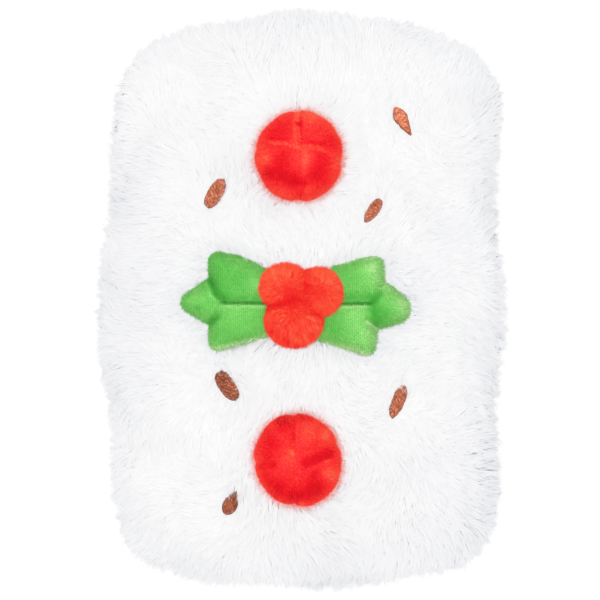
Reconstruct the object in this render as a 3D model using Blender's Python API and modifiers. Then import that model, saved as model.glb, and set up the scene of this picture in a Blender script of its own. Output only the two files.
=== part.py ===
"""A stuffed toy fruitcake: a white fur loaf with sewn plush cherries, a holly sprig and stitched nuts.

Metres, +Z up. The loaf lies on the floor with its long side along Y, and the origin is at the middle
of its underside. The loaf's outline is a superellipse with crowned ends and a fuller waist. Each
topping sits in a hollow of the pile that keeps a small gap round it.
"""

import math

import bmesh
import bpy
from mathutils import Matrix, Vector

# Loaf: the outside of the pile, a little below the longest tips.
LENGTH = 0.374
WIDTH = 0.262
HEIGHT = 0.165
WAIST_HEIGHT = 0.070  # level of the widest outline
UNDERSIDE_DEPTH = 0.086  # how deep the loaf would hang below its waist if nothing stopped it
PLAN_POWER = 7.5  # squareness of the outline seen from above
SECTION_POWER = 3.0  # squareness of the cut across the loaf
END_CROWN = 0.13  # how far the corners fall back from the ends
MIDDLE_FULLNESS = 0.047  # how much wider the loaf is at its middle
MIDDLE_REACH = 0.041  # how far from the middle that fullness fades
BULGES = (
    # where the stuffing pushes the outline out or leaves it slack: place (x, y), reach, push (x, y)
    (0.124, 0.135, 0.030, 0.0062, 0.0000),
    (0.086, 0.176, 0.022, 0.0000, -0.0025),
    (0.108, -0.162, 0.044, 0.0085, -0.0030),
    (0.130, -0.050, 0.016, 0.0022, 0.0000),
    (-0.128, -0.088, 0.036, 0.0048, 0.0000),
    (-0.126, 0.066, 0.028, 0.0028, 0.0000),
    (-0.106, -0.168, 0.024, -0.0055, -0.0015),
    (-0.084, 0.178, 0.036, 0.0000, -0.0040),
)
CAGE_CUTS = 7
CAGE_SWELL = 1.008  # the smoothed loaf is this much smaller than its cage

GAP = 0.0003  # free space between neighbouring pieces

# Cherries: stuffed balls of four gores, the pole tipped towards +Y.
CHERRY_SEAMS = 4
CHERRY_SEAM_DEPTH = 0.0013
CHERRY_SEAM_WIDTH = 0.0040
CHERRY_RISE = 0.0165  # centre above the pile
CHERRY_SEGMENTS = 24
CHERRIES = {
    # name: centre (x, y), half sizes (x, y, z), tip of the pole towards +Y and towards -X in degrees
    "cherry_upper": ((-0.0022, 0.0900), (0.0272, 0.0280, 0.0262), 12, 0),
    "cherry_lower": ((-0.0029, -0.0999), (0.0266, 0.0282, 0.0262), 13, 7),
}

# Berries: three pompons pressed together, the lower one in front of the others.
BERRY_SEGMENTS = 18
BERRIES = {
    # name: centre (x, y), half sizes (x, y, z), centre above the pile
    "berry_lower": ((-0.0044, -0.0147), (0.0182, 0.0160, 0.0140), 0.0115),
    "berry_upper_left": ((-0.0129, 0.0084), (0.0143, 0.0139, 0.0135), 0.0095),
    "berry_upper_right": ((0.0131, 0.0041), (0.0135, 0.0158, 0.0135), 0.0092),
}

# Holly leaves: padded, three lobes each, a stitched rib from the berries to the middle of the leaf.
LEAF_PUFF = 0.0078  # top above the rim
LEAF_BELLY = 0.0024  # underside below the rim
LEAF_RIM_LIFT = 0.0031  # rim above the pile
LEAF_RIB_DEPTH = 0.0030
LEAF_RIB_WIDTH = 0.0030
LEAF_NOTCH_DIP = 0.35  # share of the puff that is lost along the valleys from the notches
LEAF_TOP_RINGS = (0.97, 0.86, 0.66, 0.40, 0.18)
LEAF_UNDER_RINGS = (0.90, 0.55)
LEAVES = {
    # name: heart (x, y), rib end (x) from the heart, corners (x, y, radius) from the heart
    "holly_leaf_left": (
        (-0.0415, -0.0022),
        -0.0075,
        (
            (0.0245, 0.0190, 0.0010),
            (0.0182, 0.0222, 0.0080),
            (0.0028, 0.0292, 0.0200),
            (-0.0178, 0.0330, 0.0060),
            (-0.0172, 0.0157, 0.0030),
            (-0.0400, -0.0002, 0.0062),
            (-0.0172, -0.0138, 0.0030),
            (-0.0172, -0.0316, 0.0058),
            (0.0240, -0.0200, 0.0010),
            (0.0250, -0.0004, 0.0010),
        ),
    ),
    "holly_leaf_right": (
        (0.0345, -0.0028),
        0.0100,
        (
            (-0.0275, -0.0220, 0.0010),
            (0.0030, -0.0325, 0.0250),
            (0.0118, -0.0360, 0.0056),
            (0.0150, -0.0165, 0.0045),
            (0.0455, -0.0072, 0.0092),
            (0.0187, 0.0146, 0.0035),
            (0.0176, 0.0314, 0.0054),
            (0.0030, 0.0293, 0.0300),
            (-0.0165, 0.0232, 0.0010),
            (-0.0235, -0.0002, 0.0010),
        ),
    ),
}

# Stitched nuts: embroidered ovals, each at the bottom of a shallow dip in the pile.
NUT_HALF_SIZES = (0.0098, 0.0044, 0.0016)
NUT_DIP_HALF_SIZES = (0.0150, 0.0082, 0.0050)
NUT_SEGMENTS = 14
NUTS = (
    # centre (x, y) and the long axis from +X in degrees
    ((0.0643, 0.1134), -57),
    ((-0.0553, 0.0670), 59),
    ((0.0449, 0.0560), 55.5),
    ((-0.0476, -0.0546), -55),
    ((0.0611, -0.0643), 65.5),
    ((-0.0449, -0.1291), 66),
)


def linear(red, green, blue):
    """The linear colour of an 8-bit display colour."""
    shares = (value / 255 for value in (red, green, blue))
    curve = [s / 12.92 if s <= 0.04045 else ((s + 0.055) / 1.055) ** 2.4 for s in shares]
    return (*curve, 1.0)


def new_material(name, colour, roughness):
    material = bpy.data.materials.new(name)
    material.use_nodes = True
    shader = material.node_tree.nodes["Principled BSDF"]
    shader.inputs["Base Color"].default_value = colour
    shader.inputs["Roughness"].default_value = roughness
    shader.inputs["Metallic"].default_value = 0.0
    return material


def clear_scene():
    for old in list(bpy.data.objects):
        bpy.data.objects.remove(old, do_unlink=True)


def new_collection(name):
    collection = bpy.data.collections.new(name)
    bpy.context.scene.collection.children.link(collection)
    return collection


def new_piece(name, bm, material):
    mesh = bpy.data.meshes.new(name)
    bmesh.ops.recalc_face_normals(bm, faces=bm.faces)
    bm.to_mesh(mesh)
    bm.free()
    mesh.shade_smooth()
    mesh.materials.append(material)
    piece = bpy.data.objects.new(name, mesh)
    parts.objects.link(piece)
    return piece


def new_cutter(piece, factors, matrix):
    """A copy of the piece's mesh, larger by a factor along each axis, which cuts the piece's hollow."""
    mesh = piece.data.copy()
    mesh.transform(Matrix.Diagonal((*factors, 1)))
    cutter = bpy.data.objects.new(piece.name + "_hollow", mesh)
    cutter.matrix_world = matrix
    cutter.hide_render = True
    cutter.display_type = "WIRE"
    cutters.objects.link(cutter)
    return cutter


def cut(piece, cutter):
    boolean = piece.modifiers.new(cutter.name, "BOOLEAN")
    boolean.operation = "DIFFERENCE"
    boolean.solver = "EXACT"
    boolean.object = cutter


def unit_ball(segments):
    bm = bmesh.new()
    bmesh.ops.create_uvsphere(bm, u_segments=segments, v_segments=segments // 2, radius=1.0)
    return bm


# ---- the loaf ----


def fullness(y):
    """How much wider the loaf is at y than its straight sides."""
    return 1 + MIDDLE_FULLNESS * math.exp(-((y / MIDDLE_REACH) ** 2))


def power_sum(a, b, power):
    return (abs(a) ** power + abs(b) ** power) ** (1 / power)


HALF_WIDTH = WIDTH / 2 / fullness(0)
HALF_LENGTH = LENGTH / 2


def bulged(x, y, z):
    """Moves a point of the loaf as the stuffing pushes it."""
    point = Vector((x, y, z))
    for place_x, place_y, reach, push_x, push_y in BULGES:
        share = math.exp(-(math.hypot(x - place_x, y - place_y) ** 2) / reach**2)
        point += share * Vector((push_x, push_y, 0))
    return point


def loaf_point(cube_point):
    """Where a point on the surface of the cube from -1 to 1 goes on the loaf."""
    u, v, w = cube_point
    ring = max(abs(u), abs(v))
    reach = ring / power_sum(ring, w, SECTION_POWER)
    rise = w / power_sum(ring, w, SECTION_POWER)
    spread = power_sum(u, v, PLAN_POWER) or 1.0
    x = HALF_WIDTH * reach * u / spread
    y = HALF_LENGTH * reach * v / spread * (1 - END_CROWN * (x / HALF_WIDTH) ** 2)
    if rise > 0:
        z = WAIST_HEIGHT + (HEIGHT - WAIST_HEIGHT) * rise
    else:
        z = max(0.0, WAIST_HEIGHT + UNDERSIDE_DEPTH * rise)
    return bulged(x * fullness(y), y, z)


def loaf_top(x, y):
    """The height of the pile over a point of the floor plan."""
    u = x / fullness(y) / HALF_WIDTH
    v = y / HALF_LENGTH / (1 - END_CROWN * u**2)
    ring = power_sum(u, v, PLAN_POWER)
    return WAIST_HEIGHT + (HEIGHT - WAIST_HEIGHT) * (1 - ring**SECTION_POWER) ** (1 / SECTION_POWER)


def on_loaf(x, y, turn=0.0):
    """A frame on the loaf's top: z out of the pile, x turned from +X by turn degrees."""
    step = 0.001
    slope_x = (loaf_top(x + step, y) - loaf_top(x - step, y)) / (2 * step)
    slope_y = (loaf_top(x, y + step) - loaf_top(x, y - step)) / (2 * step)
    out = Vector((-slope_x, -slope_y, 1)).normalized()
    along = Vector((math.cos(math.radians(turn)), math.sin(math.radians(turn)), 0))
    across = out.cross(along).normalized()
    axes = Matrix((across.cross(out), across, out)).transposed().to_4x4()
    return Matrix.Translation((x, y, loaf_top(x, y))) @ axes


def make_loaf():
    bm = bmesh.new()
    bmesh.ops.create_cube(bm, size=2.0)
    bmesh.ops.subdivide_edges(bm, edges=bm.edges[:], cuts=CAGE_CUTS, use_grid_fill=True)
    for vertex in bm.verts:
        point = loaf_point(vertex.co)
        vertex.co = (point.x * CAGE_SWELL, point.y * CAGE_SWELL, point.z)
    loaf = new_piece("fur_loaf", bm, new_material("white_fur", linear(246, 247, 249), 0.9))
    smoothing = loaf.modifiers.new("smoothing", "SUBSURF")
    smoothing.levels = 1
    smoothing.render_levels = 1
    return loaf


# ---- toppings ----


def make_cherry(name, centre, half_sizes, tip_back, tip_left, material):
    """A ball of gores: each seam from pole to pole pulls the cloth in. Returns its cutter."""
    bm = unit_ball(CHERRY_SEGMENTS)
    x_half, y_half, z_half = half_sizes
    for vertex in bm.verts:
        angle = math.atan2(vertex.co.y, vertex.co.x)
        circle = math.hypot(vertex.co.x, vertex.co.y) * x_half
        seam_angle = 2 * math.pi / CHERRY_SEAMS
        off_seam = (angle + seam_angle / 2) % seam_angle - seam_angle / 2
        dent = CHERRY_SEAM_DEPTH * math.exp(-((off_seam * circle / CHERRY_SEAM_WIDTH) ** 2))
        vertex.co *= 1 - dent / x_half
        vertex.co = (vertex.co.x * x_half, vertex.co.y * y_half, vertex.co.z * z_half)
    tip = Matrix.Rotation(-math.radians(tip_back), 4, "X") @ Matrix.Rotation(-math.radians(tip_left), 4, "Y")
    ball = new_piece(name, bm, material)
    x, y = centre
    ball.matrix_world = Matrix.Translation((x, y, loaf_top(x, y) + CHERRY_RISE)) @ tip
    return new_cutter(ball, [1 + GAP / half for half in half_sizes], ball.matrix_world)


def make_berry(name, centre, half_sizes, rise, material):
    """A pompon, and its cutter that is larger by the gap."""
    bm = unit_ball(BERRY_SEGMENTS)
    bmesh.ops.scale(bm, vec=half_sizes, verts=bm.verts)
    berry = new_piece(name, bm, material)
    x, y = centre
    berry.matrix_world = Matrix.Translation((x, y, loaf_top(x, y) + rise))
    return berry, new_cutter(berry, [1 + GAP / half for half in half_sizes], berry.matrix_world)


def rounded_outline(corners, steps=3):
    """The points of a closed outline whose corners (x, y, radius) are rounded by arcs."""
    points = []
    for i, (x, y, radius) in enumerate(corners):
        corner = Vector((x, y))
        before = (Vector(corners[i - 1][:2]) - corner).normalized()
        after = (Vector(corners[(i + 1) % len(corners)][:2]) - corner).normalized()
        half_angle = before.angle(after) / 2
        centre = corner + (before + after).normalized() * radius / math.sin(half_angle)
        start = corner + before * radius / math.tan(half_angle) - centre
        sweep = start.angle_signed(corner + after * radius / math.tan(half_angle) - centre)
        for k in range(steps + 1):
            points.append(centre + Matrix.Rotation(-sweep * k / steps, 2) @ start)
    return points


def puff_share(scale):
    """How much of the full height a ring has that is this much smaller than the rim."""
    return math.sqrt(1 - scale**2.5)


def make_leaf(name, heart, rib_end, corners, material):
    """Rings of the outline, shrunk towards the heart and raised as padding, on the loaf's curve."""
    outline = rounded_outline(corners)
    longest = max(point.length for point in outline)
    bm = bmesh.new()

    def height(point, scale, full):
        """The height over the rim at a point of the ring, with valleys and the stitched rib."""
        short = 1 - min(1.0, point.length / (0.55 * longest))
        lift = full * puff_share(scale) * (1 - LEAF_NOTCH_DIP * short * scale)
        if full > 0 and scale * (point.x - rib_end) * rib_end < 0:
            rib = math.exp(-((scale * point.y / LEAF_RIB_WIDTH) ** 2))
            lift -= min(LEAF_RIB_DEPTH * rib, 0.6 * lift)
        return lift

    def ring(scale, full):
        found = []
        for point in outline:
            x = heart[0] + point.x * scale
            y = heart[1] + point.y * scale
            z = loaf_top(x, y) + LEAF_RIM_LIFT + height(point, scale, full)
            found.append(bm.verts.new((x, y, z)))
        return found

    def close(last, full):
        z = loaf_top(*heart) + LEAF_RIM_LIFT + full * (0.62 if full > 0 else 1)
        middle = bm.verts.new((*heart, z))
        for a, b in zip(last, last[1:] + last[:1]):
            bm.faces.new((a, b, middle))

    rim = ring(1.0, 0.0)
    for scales, full in ((LEAF_TOP_RINGS, LEAF_PUFF), (LEAF_UNDER_RINGS, -LEAF_BELLY)):
        last = rim
        for scale in scales:
            smaller = ring(scale, full)
            for k in range(len(outline)):
                n = (k + 1) % len(outline)
                bm.faces.new((last[k], last[n], smaller[n], smaller[k]))
            last = smaller
        close(last, full)
    return new_piece(name, bm, material)


def make_nut(number, centre, turn, material):
    """An embroidered oval. Returns the cutter of the dip in the pile that it lies in."""
    place = on_loaf(*centre, turn)
    bm = unit_ball(NUT_SEGMENTS)
    bmesh.ops.scale(bm, vec=NUT_HALF_SIZES, verts=bm.verts)
    nut = new_piece(f"stitched_nut_{number}", bm, material)
    depth = NUT_DIP_HALF_SIZES[2] - NUT_HALF_SIZES[2] - 2 * GAP
    nut.matrix_world = place @ Matrix.Translation((0, 0, -depth))
    return new_cutter(nut, [dip / half for dip, half in zip(NUT_DIP_HALF_SIZES, NUT_HALF_SIZES)], place)


clear_scene()
parts = new_collection("fruitcake")
cutters = new_collection("cutters")

loaf = make_loaf()

cherry_cloth = new_material("cherry_plush", linear(243, 48, 46), 0.8)
for cherry_name, cherry_facts in CHERRIES.items():
    cut(loaf, make_cherry(cherry_name, *cherry_facts, cherry_cloth))

berry_yarn = new_material("berry_pompon", linear(247, 66, 48), 0.85)
berry_hollows = []
for berry_name, berry_facts in BERRIES.items():
    berry, hollow = make_berry(berry_name, *berry_facts, berry_yarn)
    for pressed_by in berry_hollows:
        cut(berry, pressed_by)
    cut(loaf, hollow)
    berry_hollows.append(hollow)

leaf_cloth = new_material("holly_minky", linear(112, 196, 88), 0.75)
for leaf_name, leaf_facts in LEAVES.items():
    leaf = make_leaf(leaf_name, *leaf_facts, leaf_cloth)
    for hollow in berry_hollows:
        cut(leaf, hollow)

nut_thread = new_material("nut_thread", linear(176, 112, 88), 0.55)
for nut_number, nut_facts in enumerate(NUTS, 1):
    cut(loaf, make_nut(nut_number, *nut_facts, nut_thread))
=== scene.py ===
# %% [markdown]
# # A stuffed toy fruitcake
# The toy is a loaf of long white fur with two plush cherries, a sprig of padded holly leaves with three
# pompon berries, and six stitched nuts. This lesson dresses the plain solids of the construction model:
# each soft piece is made again as cloth, pile and thread, in the place that its solid holds.

# %% Load the frame
import math

import bmesh
import bpy
import numpy as np
from mathutils import Matrix, Vector
from mathutils.kdtree import KDTree


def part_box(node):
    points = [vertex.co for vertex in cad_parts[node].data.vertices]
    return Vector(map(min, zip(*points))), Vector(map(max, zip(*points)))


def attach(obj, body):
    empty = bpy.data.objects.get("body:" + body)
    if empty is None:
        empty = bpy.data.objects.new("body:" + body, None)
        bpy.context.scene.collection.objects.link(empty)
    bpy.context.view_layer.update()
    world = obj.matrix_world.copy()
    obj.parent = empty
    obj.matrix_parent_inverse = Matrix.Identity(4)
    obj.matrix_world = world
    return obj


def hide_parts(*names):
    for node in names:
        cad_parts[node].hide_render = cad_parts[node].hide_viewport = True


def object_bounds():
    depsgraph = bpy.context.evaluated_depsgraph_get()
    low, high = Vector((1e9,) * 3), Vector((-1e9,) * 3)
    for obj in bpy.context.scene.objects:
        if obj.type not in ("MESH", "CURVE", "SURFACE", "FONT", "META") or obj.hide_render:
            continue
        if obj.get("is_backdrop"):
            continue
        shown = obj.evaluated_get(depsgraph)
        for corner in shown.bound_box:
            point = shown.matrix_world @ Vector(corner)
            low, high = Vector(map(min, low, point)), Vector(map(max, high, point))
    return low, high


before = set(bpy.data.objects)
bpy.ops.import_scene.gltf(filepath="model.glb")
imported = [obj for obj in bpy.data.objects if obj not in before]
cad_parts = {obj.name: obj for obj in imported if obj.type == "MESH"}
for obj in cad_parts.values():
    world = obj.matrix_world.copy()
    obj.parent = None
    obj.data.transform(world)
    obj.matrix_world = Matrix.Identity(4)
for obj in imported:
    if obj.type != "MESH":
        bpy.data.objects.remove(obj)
cad_box = [list(corner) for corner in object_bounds()]
print("the solids fill", np.round(np.subtract(cad_box[1], cad_box[0]) * 1000), "mm")

# %% [markdown]
# ## Small tools
# Many pieces below share three needs: numbers that wander smoothly from place to place, vectors of
# length one, and points spread evenly over a surface. Blender has noise and scattering of its own,
# but here the noise has to move points and shade fibres alike. A sum of a few sine waves with random
# directions is the simplest smooth noise there is, and it works on a million points at once.


# %% Vectors and smooth noise
def unit(vectors):
    return vectors / np.maximum(np.linalg.norm(vectors, axis=-1, keepdims=True), 1e-12)


def wandering(seed, wavelength, waves=14):
    """A function of places that wanders smoothly round 0, about as far as 1, over this wavelength."""
    draw = np.random.default_rng(seed)
    turns = unit(draw.normal(size=(waves, 3))) * 2 * np.pi / (wavelength * draw.uniform(0.7, 1.5, (waves, 1)))
    starts = draw.uniform(0, 2 * np.pi, waves)

    def field(places):
        return np.sin(places @ turns.T + starts).sum(1) * math.sqrt(2 / waves)

    return field


# %% Meshes as arrays, and even sowing
def rows_of_three(things, name, kind):
    numbers = np.empty(len(things) * 3, kind)
    things.foreach_get(name, numbers)
    return numbers.reshape(-1, 3)


def mesh_arrays(mesh):
    """Places, normals and triangles of a mesh as arrays."""
    mesh.calc_loop_triangles()
    places = rows_of_three(mesh.vertices, "co", np.float32).astype(float)
    normals = rows_of_three(mesh.vertex_normals, "vector", np.float32).astype(float)
    return places, normals, rows_of_three(mesh.loop_triangles, "vertices", np.int32)


def set_places(mesh, places):
    mesh.vertices.foreach_set("co", places.astype(np.float32).ravel())
    mesh.update()


def sow(mesh, count, draw, keep=None):
    """Sows points evenly over the mesh, or over the triangles that keep picks. Returns places and normals."""
    places, normals, corners = mesh_arrays(mesh)
    if keep is not None:
        corners = corners[keep(places[corners].mean(1), unit(normals[corners].mean(1)))]
    a, b, c = places[corners].transpose(1, 0, 2)
    area = np.linalg.norm(np.cross(b - a, c - a), axis=1) / 2
    steps = (np.arange(count) + draw.uniform(0, 1, count)) / count * area.sum()
    chosen = np.searchsorted(np.cumsum(area), steps).clip(0, len(area) - 1)
    share = draw.uniform(0, 1, (count, 2))
    share = np.where(share.sum(1, keepdims=True) > 1, 1 - share, share)
    weights = np.column_stack([1 - share.sum(1), share])[:, :, None]
    found = (places[corners[chosen]] * weights).sum(1)
    return found, unit((normals[corners[chosen]] * weights).sum(1))


# %% Making and finishing a piece
total_triangles = 0


def new_object(name, mesh):
    piece = bpy.data.objects.new(name, mesh)
    bpy.context.collection.objects.link(piece)
    return piece


def closed_piece(name, places, faces):
    """A smooth piece from places and faces, with every face turned outwards."""
    mesh = bpy.data.meshes.new(name)
    mesh.from_pydata(places.tolist(), [], faces)
    bm = bmesh.new()
    bm.from_mesh(mesh)
    bmesh.ops.recalc_face_normals(bm, faces=bm.faces)
    bm.to_mesh(mesh)
    bm.free()
    mesh.shade_smooth()
    return new_object(name, mesh)


def grid_faces(first, rows, length, closed=True):
    """Faces between rows of points that are numbered from first on. A closed row is a ring."""
    number = np.arange(length if closed else length - 1)
    after = (number + 1) % length
    faces = []
    for row in range(rows - 1):
        a = first + row * length
        b = a + length
        faces += np.stack([a + number, a + after, b + after, b + number], 1).tolist()
    return faces


def settle(piece, node, material, shades):
    """Gives a piece its finish and its place in the frame. shades: one number, or one for each point."""
    global total_triangles
    piece.data.materials.append(material)
    attribute = piece.data.attributes.new("shade", "FLOAT", "POINT")
    attribute.data.foreach_set("value", np.full(len(piece.data.vertices), np.ravel(shades), np.float32))
    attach(piece, "root")
    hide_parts(node)
    triangles = sum(len(face.vertices) - 2 for face in piece.data.polygons)
    total_triangles += triangles
    print(piece.name, "has", triangles, "triangles")


# %% [markdown]
# ## Fibres
# Fur, plush and pompon yarn are all fibres. Blender's hair would be quicker to make, but it is lost
# when the toy is exported, so each fibre is a real, tiny blade: two edges from the root to a bend, and
# one tip. Its flat side looks outwards, a little turned at random. Light spreads through soft pile, so
# a blade is lit mostly as the cloth under it would be, which its own normals see to. All blades of a
# piece are written into one mesh with whole arrays, which takes a second where a loop takes minutes.


# %% Blades of pile
BLADE_POINTS = 5  # two at the root, two at the bend and the tip
BLADE_LOOPS = np.array([0, 1, 2, 3, 3, 2, 4])  # the four corners of its lower face, the three of its upper
BLADE_FACES = np.array([0, 4])  # where these two faces start
BLADE_MAP = np.array(
    [(0.15, 0.1), (0.85, 0.1), (0.8, 0.5), (0.2, 0.5), (0.2, 0.5), (0.8, 0.5), (0.5, 0.9)],
)
BEND_WIDTH = 0.8  # as a share of the width at the root
MOST_ROLL = 1.2  # in radians


def blades(name, roots, bends, tips, widths, outward, draw, roll=0.6, soft=0.75):
    """One object of blades. Each blade has a cell of a map of its own, so that it can carry a colour.

    roll is how far blades turn about their own length at random. soft is how much of the light on them
    follows outward, and not their own flat side.
    """
    count = len(roots)
    along = unit(tips - roots)
    across = unit(np.cross(along, outward))
    angle = np.clip(draw.normal(0, roll, count), -MOST_ROLL, MOST_ROLL)[:, None]
    across = across * np.cos(angle) + np.cross(along, across) * np.sin(angle)
    across = across * widths[:, None] / 2
    bend_across = across * BEND_WIDTH
    corners = np.stack([roots - across, roots + across, bends + bend_across, bends - bend_across, tips], 1)
    mesh = bpy.data.meshes.new(name)
    mesh.vertices.add(count * BLADE_POINTS)
    mesh.vertices.foreach_set("co", corners.astype(np.float32).ravel())
    loops = (np.arange(count)[:, None] * BLADE_POINTS + BLADE_LOOPS).ravel()
    mesh.loops.add(len(loops))
    mesh.loops.foreach_set("vertex_index", loops.astype(np.int32))
    mesh.polygons.add(count * len(BLADE_FACES))
    starts = (np.arange(count)[:, None] * len(BLADE_LOOPS) + BLADE_FACES).ravel()
    mesh.polygons.foreach_set("loop_start", starts.astype(np.int32))
    mesh.update(calc_edges=True)
    cells = math.ceil(math.sqrt(count))
    cell = np.stack([np.arange(count) % cells, np.arange(count) // cells], 1)[:, None]
    layer = mesh.uv_layers.new(name="OFBake")
    layer.uv.foreach_set("vector", ((cell + BLADE_MAP) / cells).astype(np.float32).ravel())
    mesh.shade_smooth()
    face_way = np.cross(across, along)
    face_way = unit(face_way) * np.sign((face_way * outward).sum(1, keepdims=True))
    lit = unit(outward * soft + face_way * (1 - soft))
    mesh.normals_split_custom_set_from_vertices(np.repeat(lit, BLADE_POINTS, axis=0).tolist())
    return new_object(name, mesh)


def blade_shades(root, bend, tip):
    """The shade of each of a blade's five points, from arrays for its root, bend and tip."""
    return np.stack([root, root, bend, bend, tip], 1)


# %% [markdown]
# ## Finishes
# Every finish here is cloth, and cloth shows two things: a colour that isn't quite even, and light
# that comes through its thin fibres. A picture of cloth could be wrapped round each piece, but it would
# blur close by. So each point of a piece carries a number, its shade, and a ramp turns shades into
# colours. The shade holds the cloth's own tone, and painted light and shade as well: from 0 for painted
# shade deep in the pile to 1 for a painted highlight on a lit tip. A noise that is fixed to the toy
# shifts the shade, so that no patch repeats. A translucent shader, mixed in, lets the light through.


# %% Colours and the cloth finish
def linear(red, green, blue):
    """The linear colour of an 8-bit display colour."""
    shares = (value / 255 for value in (red, green, blue))
    curve = [s / 12.92 if s <= 0.04045 else ((s + 0.055) / 1.055) ** 2.4 for s in shares]
    return (*curve, 1.0)


def add_math(nodes, links, operation, first, second):
    node = nodes.new("ShaderNodeMath")
    node.operation = operation
    for socket, value in zip(node.inputs, (first, second)):
        if isinstance(value, (int, float)):
            socket.default_value = value
        else:
            links.new(value, socket)
    return node.outputs[0]


def set_inputs(node, values):
    for name, value in values.items():
        node.inputs[name].default_value = value


def new_finish(name, values):
    """A new material, its nodes, its links, and its main shader with these inputs set."""
    material = bpy.data.materials.new(name)
    material.use_nodes = True
    nodes, links = material.node_tree.nodes, material.node_tree.links
    shader = nodes["Principled BSDF"]
    set_inputs(shader, values)
    return material, nodes, links, shader


def noise_around_zero(nodes, links, scale, detail, strength):
    place = nodes.new("ShaderNodeTexCoord")
    noise = nodes.new("ShaderNodeTexNoise")
    set_inputs(noise, {"Scale": scale, "Detail": detail})
    links.new(place.outputs["Object"], noise.inputs["Vector"])
    centred = add_math(nodes, links, "SUBTRACT", noise.outputs["Fac"], 0.5)
    return add_math(nodes, links, "MULTIPLY", centred, strength)


def colour_ramp(nodes, colours):
    """A ramp whose stops are evenly spaced from shade 0 to shade 1."""
    ramp = nodes.new("ShaderNodeValToRGB")
    stops = ramp.color_ramp.elements
    for number, colour in enumerate(colours):
        position = number / (len(colours) - 1)
        stop = stops[0] if number == 0 else stops[-1] if number == len(colours) - 1 else stops.new(position)
        stop.position = position
        stop.color = colour
    return ramp


CLOTH_GLOSS = 0.15


def cloth_finish(name, colours, through, through_share, noise_scale, noise_strength, roughness=0.75):
    """Cloth: its colours from shade 0 to 1, the light that comes through it, and its fine unevenness."""
    values = {"Roughness": roughness, "Specular IOR Level": CLOTH_GLOSS}
    material, nodes, links, shader = new_finish(name, values)
    shade = nodes.new("ShaderNodeAttribute")
    shade.attribute_name = "shade"
    wander = noise_around_zero(nodes, links, noise_scale, 3.0, noise_strength)
    ramp = colour_ramp(nodes, colours)
    links.new(add_math(nodes, links, "ADD", shade.outputs["Fac"], wander), ramp.inputs["Fac"])
    links.new(ramp.outputs["Color"], shader.inputs["Base Color"])
    if through_share:
        glow = nodes.new("ShaderNodeBsdfTranslucent")
        set_inputs(glow, {"Color": through})
        mix = nodes.new("ShaderNodeMixShader")
        set_inputs(mix, {"Fac": through_share})
        links.new(shader.outputs[0], mix.inputs[1])
        links.new(glow.outputs[0], mix.inputs[2])
        links.new(mix.outputs[0], nodes["Material Output"].inputs["Surface"])
    return material


WHITE = (0.985, 0.988, 0.995, 1)
DEEP_WHITE = (0.745, 0.747, 0.775, 1)
FUR_SHADE = 0.87
white_fur = cloth_finish(
    "white_fur",
    [DEEP_WHITE, WHITE],
    through=WHITE,
    through_share=0.38,
    noise_scale=60.0,
    noise_strength=0.12,
)

# %% [markdown]
# ## Camera
# The toy was photographed from straight above with a long lens, so its sides hardly show. A camera
# without perspective would be close, but it would hide the sides altogether. A long lens two metres up
# gives the same flat view, and the loaf's waist, its widest level, sets how long the lens has to be.

# %% The camera
CAMERA_HEIGHT = 2.2
PICTURE_SIDE = 600  # in pixels
PIXEL_AT_WAIST = 0.0006586  # metres that a pixel covers at the level of the waist
PIXELS_ASIDE = -2.0  # from the toy's middle to the picture's
PIXELS_UP = -0.5
WAIST = 0.070
SENSOR = 36.0  # in millimetres
camera_data = bpy.data.cameras.new("camera")
camera_data.sensor_width = SENSOR
camera_data.lens = SENSOR * (CAMERA_HEIGHT - WAIST) / (PICTURE_SIDE * PIXEL_AT_WAIST)
camera_data.clip_end = 20.0
camera = bpy.data.objects.new("camera", camera_data)
camera.location = (PIXELS_ASIDE * PIXEL_AT_WAIST, PIXELS_UP * PIXEL_AT_WAIST, CAMERA_HEIGHT)
bpy.context.collection.objects.link(camera)
bpy.context.scene.camera = camera
print("lens", round(camera_data.lens), "mm")

# %% [markdown]
# ## The loaf's cloth
# The loaf is a stuffed bag of fur fabric. Its solid ends where the pile ends, and the cloth back lies
# deeper. Sculpting or a cloth simulation would give a bag too, but the fibres below have to know the
# form at every point, so it is a formula. A cube's points are pushed out to a superellipse with crowned
# ends, smaller than the solid by the depth of the pile, and bulges give it the outline of real stuffing.

# %% The form of the loaf
PLAN_POWER = 7.5
SECTION_POWER = 3.0
END_CROWN = 0.13
MIDDLE_FULLNESS = 0.047
MIDDLE_REACH = 0.041
UNDERSIDE_DEPTH = 0.086
WIDEST_HALF = 0.131
HALF_WIDTH = WIDEST_HALF / (1 + MIDDLE_FULLNESS)
HALF_LENGTH = 0.187
LOAF_TOP = 0.165
BULGES = (
    # where the stuffing pushes the outline out or leaves it slack: place (x, y), reach, push (x, y)
    (0.124, 0.135, 0.030, 0.0080, 0.0000),
    (0.086, 0.176, 0.022, 0.0000, -0.0025),
    (0.108, -0.162, 0.044, 0.0070, -0.0050),
    (0.130, -0.050, 0.016, 0.0012, 0.0000),
    (0.131, -0.024, 0.016, 0.0020, 0.0000),
    (-0.128, -0.088, 0.036, 0.0036, 0.0000),
    (-0.130, -0.034, 0.034, -0.0034, 0.0000),
    (-0.126, 0.066, 0.028, 0.0006, 0.0000),
    (-0.106, -0.168, 0.026, -0.0075, -0.0035),
    (-0.084, 0.178, 0.036, 0.0000, -0.0040),
)


def power_sum(a, b, power):
    return (np.abs(a) ** power + np.abs(b) ** power) ** (1 / power)


def fullness(y):
    return 1 + MIDDLE_FULLNESS * np.exp(-((y / MIDDLE_REACH) ** 2))


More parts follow.
